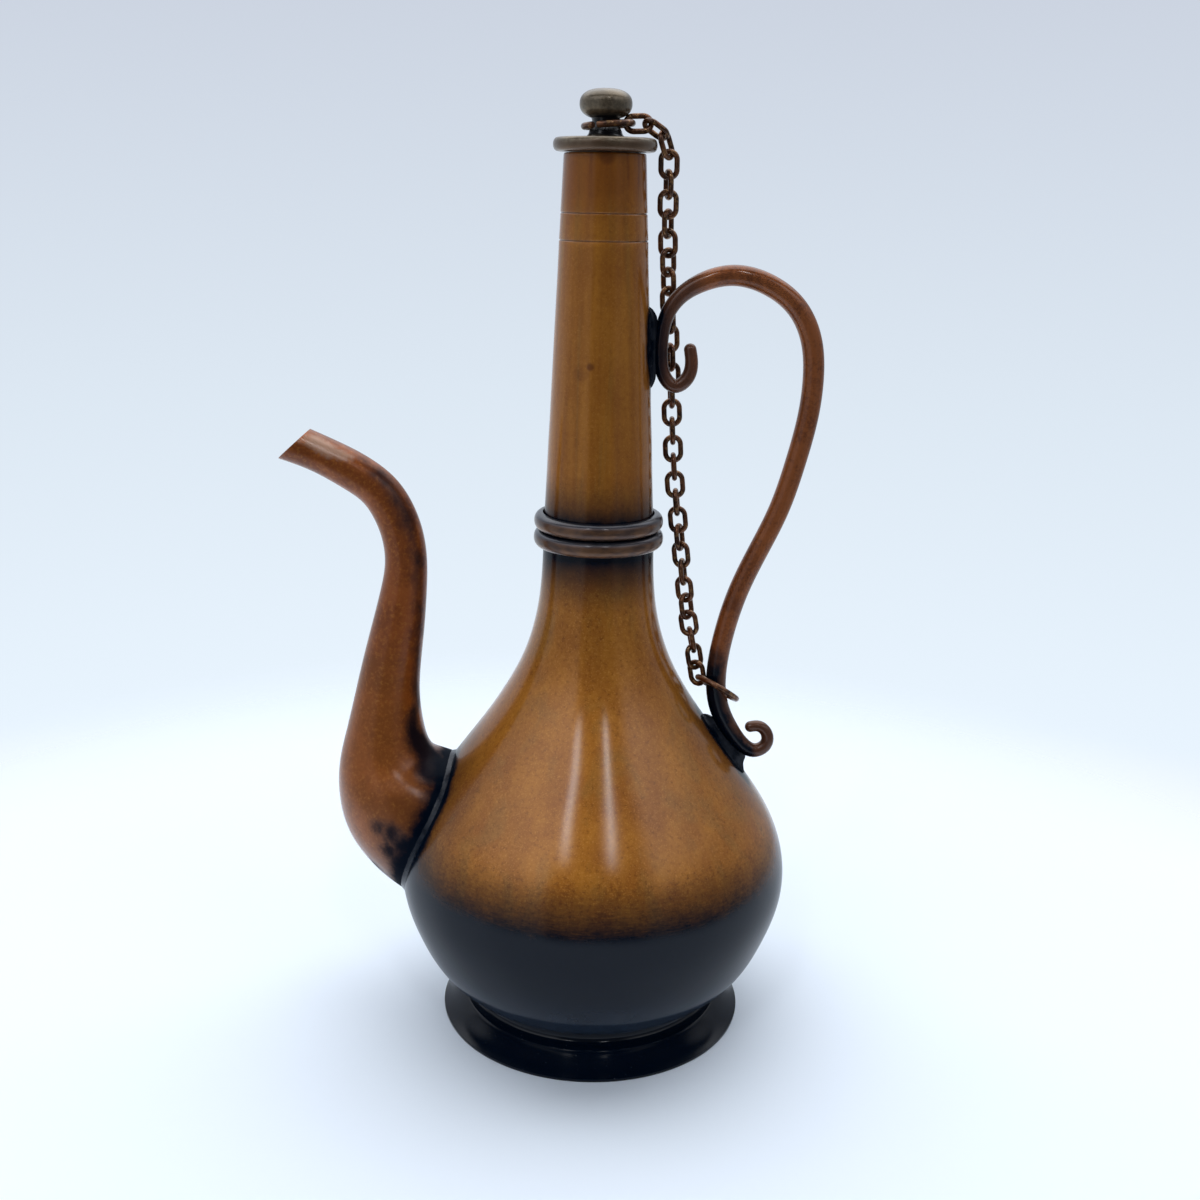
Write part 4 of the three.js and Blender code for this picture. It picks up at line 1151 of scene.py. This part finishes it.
def link_tree():
    """One oval link of round wire, turned and moved to its place"""
    sockets = {name: "Float" for name in ("Length", "Width", "Wire")}
    growth = Growth("chain_link", {**sockets, "Place": "Vector", "Turn": "Vector", "Finish": "Material"})
    given = growth.given
    wire = given["Wire"]
    outline = {"Width": given["Length"] - wire * 2, "Height": given["Width"] - wire * 2}
    oval = growth.node("GeometryNodeFilletCurve", {
        "Curve": growth.node("GeometryNodeCurvePrimitiveQuadrilateral", outline),
        "Count": LINK_ROUND_STEPS, "Limit Radius": True,
        "Radius": given["Width"] * 0.5 - wire * LINK_BEND_ROOM,
    }, mode="POLY")
    swept = {"Curve": oval, "Profile Curve": growth.circle(LINK_SIDES, wire)}
    return growth.ended(growth.node("GeometryNodeTransform", {
        "Geometry": growth.node("GeometryNodeCurveToMesh", swept),
        "Translation": given["Place"], "Rotation": given["Turn"],
    }))


def lie_of(node):
    """The middle of a CAD node and its long, middle and short directions"""
    corners = np.unique(corners_of(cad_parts[node].data).round(7), axis=0)
    middle = corners.mean(axis=0)
    directions = np.linalg.svd(corners - middle, full_matrices=False)[2]
    directions[2] = np.cross(directions[0], directions[1])
    return middle, directions


chain_link = link_tree()
for name in sorted(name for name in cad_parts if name.startswith("chain_link_")):
    middle, directions = lie_of(name)
    turn = Matrix(directions.T.tolist()).to_euler()
    nothing = bpy.data.meshes.new("nothing")
    link = grown(name.replace("chain_", ""), chain_link, nothing, {
        "Length": LINK_LENGTH * MM, "Width": LINK_WIDTH * MM, "Wire": LINK_WIRE * MM,
        "Place": middle.tolist(), "Turn": list(turn), "Finish": wire_finish,
    })
    fitted(link, link.name, "chain_wire", name)

# Handle ring: a closed ring of the same wire round the lower end of the handle. The chain's last
# link hangs in it, and it slides and tilts on the rod.
HANDLE_RING_R = 6.5
HANDLE_RING_WIRE = 0.84
HANDLE_RING_DIP = math.radians(21)
HANDLE_RING_SHIFT = (0.6, 0.3, 1)

middle, directions = lie_of("handle_ring")
middle = (middle - (axis_x, 0, 0)) / MM + HANDLE_RING_SHIFT
long_way = unit(np.cross(directions[2], (0, 1, 0)))
cross_way = np.array((0, math.cos(HANDLE_RING_DIP), -math.sin(HANDLE_RING_DIP)))
cross_way = unit(cross_way - long_way * (cross_way @ long_way))
ring_line = []
for turn in around(96):
    across, up = circle_point(HANDLE_RING_R, turn)
    ring_line.append((*(middle + long_way * across + cross_way * up), HANDLE_RING_WIRE))
handle_ring = rod_of("rod_ring", ring_line, wire_finish, closed=True, sides=RING_SIDES)
fitted(handle_ring, "handle_ring", "chain_wire", "handle_ring")

# Stand: a white floor that melts into the pale background, lit by a bright tent that is open at
# the front, with two strip lamps under its roof that draw the streaks on the shoulder.
FLOOR_R = 0.7
FLOOR_WHITE = (0.8, 0.88, 0.98, 1)
FLOOR_FADE = (0.19, 0.36)
WHITE = (1, 1, 1, 1)
SKY_STOPS = [
    (0, WHITE), (0.055, WHITE), (0.105, (0.815, 0.91, 1, 1)), (0.242, (0.725, 0.81, 0.9, 1)),
    (0.417, (0.604, 0.658, 0.753, 1)), (0.6, (0.7, 0.74, 0.8, 1)), (1, WHITE),
]
SKY_LOW = -0.5
SKY_SPAN = 1.5
OPENING = (0.13, 0.13, 0.135, 1)
SLIT = (0.02, 0.02, 0.022, 1)
STRIP_GAIN = 20

# Where the opening and the strips start, are full, wane and end, as bearings in radians from the
# front to the east, or as heights, in which straight up is 1
OPENING_TURN = (-0.56, -0.42, 0.45, 0.85)
LEFT_STRIP = (-0.5, -0.41, -0.36, -0.26)
RIGHT_STRIP = (0.18, 0.27, 0.27, 0.36)
STRIP_HEIGHT = (0.58, 0.7, 0.79, 0.86)

edge = [(*circle_point(FLOOR_R, turn), 0) for turn in around(96)]
floor_mesh = bpy.data.meshes.new("floor")
floor_mesh.from_pydata(edge, [], [tuple(range(len(edge)))])
floor = linked("floor", floor_mesh)
ground = new_finish("floor_white")
paint = ground.node("ShaderNodeBsdfDiffuse", {"Color": FLOOR_WHITE})
clear = ground.node("ShaderNodeBsdfTransparent", {})
spot = ground.node("ShaderNodeTexCoord", {}, "Object")
distance = ground.node("ShaderNodeVectorMath", {0: spot}, "Value", operation="LENGTH")
cover = {0: distance.fade(*FLOOR_FADE), 1: paint, 2: clear}
floor_mesh.materials.append(ground.ended(ground.node("ShaderNodeMixShader", cover)))

tent = Finish(bpy.data.worlds.new("tent"))
heading = tent.node("ShaderNodeTexCoord", {}, "Generated")
east, north, height = [tent.node("ShaderNodeSeparateXYZ", {0: heading}, k) for k in range(3)]
walls = tent.node("ShaderNodeValToRGB", {0: (height - SKY_LOW) * (1 / SKY_SPAN)}, stops=SKY_STOPS)
bearing = tent.maths("ARCTAN2", east, 0 - north)
opening = bearing.within(*OPENING_TURN) * height.fade(0.985, 0.94)
across = tent.maths("ABSOLUTE", north * 0.9 + height * 0.43 - east * east * 0.55)
slit = across.fade(0.24, 0.15) * (east * east).fade(0.75, 0.6) * height.fade(0.2, 0.5)
sides = north.fade(0.3, -0.3) * height.fade(0.36, 0.1) * 0.3
roof = height.fade(0.3, 0.68) * 1.36
shade = east.fade(0.1, 0.7) * height.fade(0.75, 0.45) * 0.42
shade = shade + east.fade(-0.35, -0.75) * height.fade(0.6, 0.35) * 0.14
seen = tent.node("ShaderNodeLightPath", {}, "Is Camera Ray")
strips = bearing.within(*LEFT_STRIP) * 0.8 + bearing.within(*RIGHT_STRIP)
strips = strips * height.within(*STRIP_HEIGHT)
unseen = 1 - seen
dimmed = unseen * (1 - strips)
walls = tent.painted(walls, (opening * dimmed, OPENING), (slit * dimmed, SLIT))
shut = (1 - opening) * (1 - slit)
level = 1 + unseen * (shut * (roof - sides - shade) + strips * STRIP_GAIN)
scene.world = tent.ended(tent.node("ShaderNodeBackground", {"Color": walls, "Strength": level}))
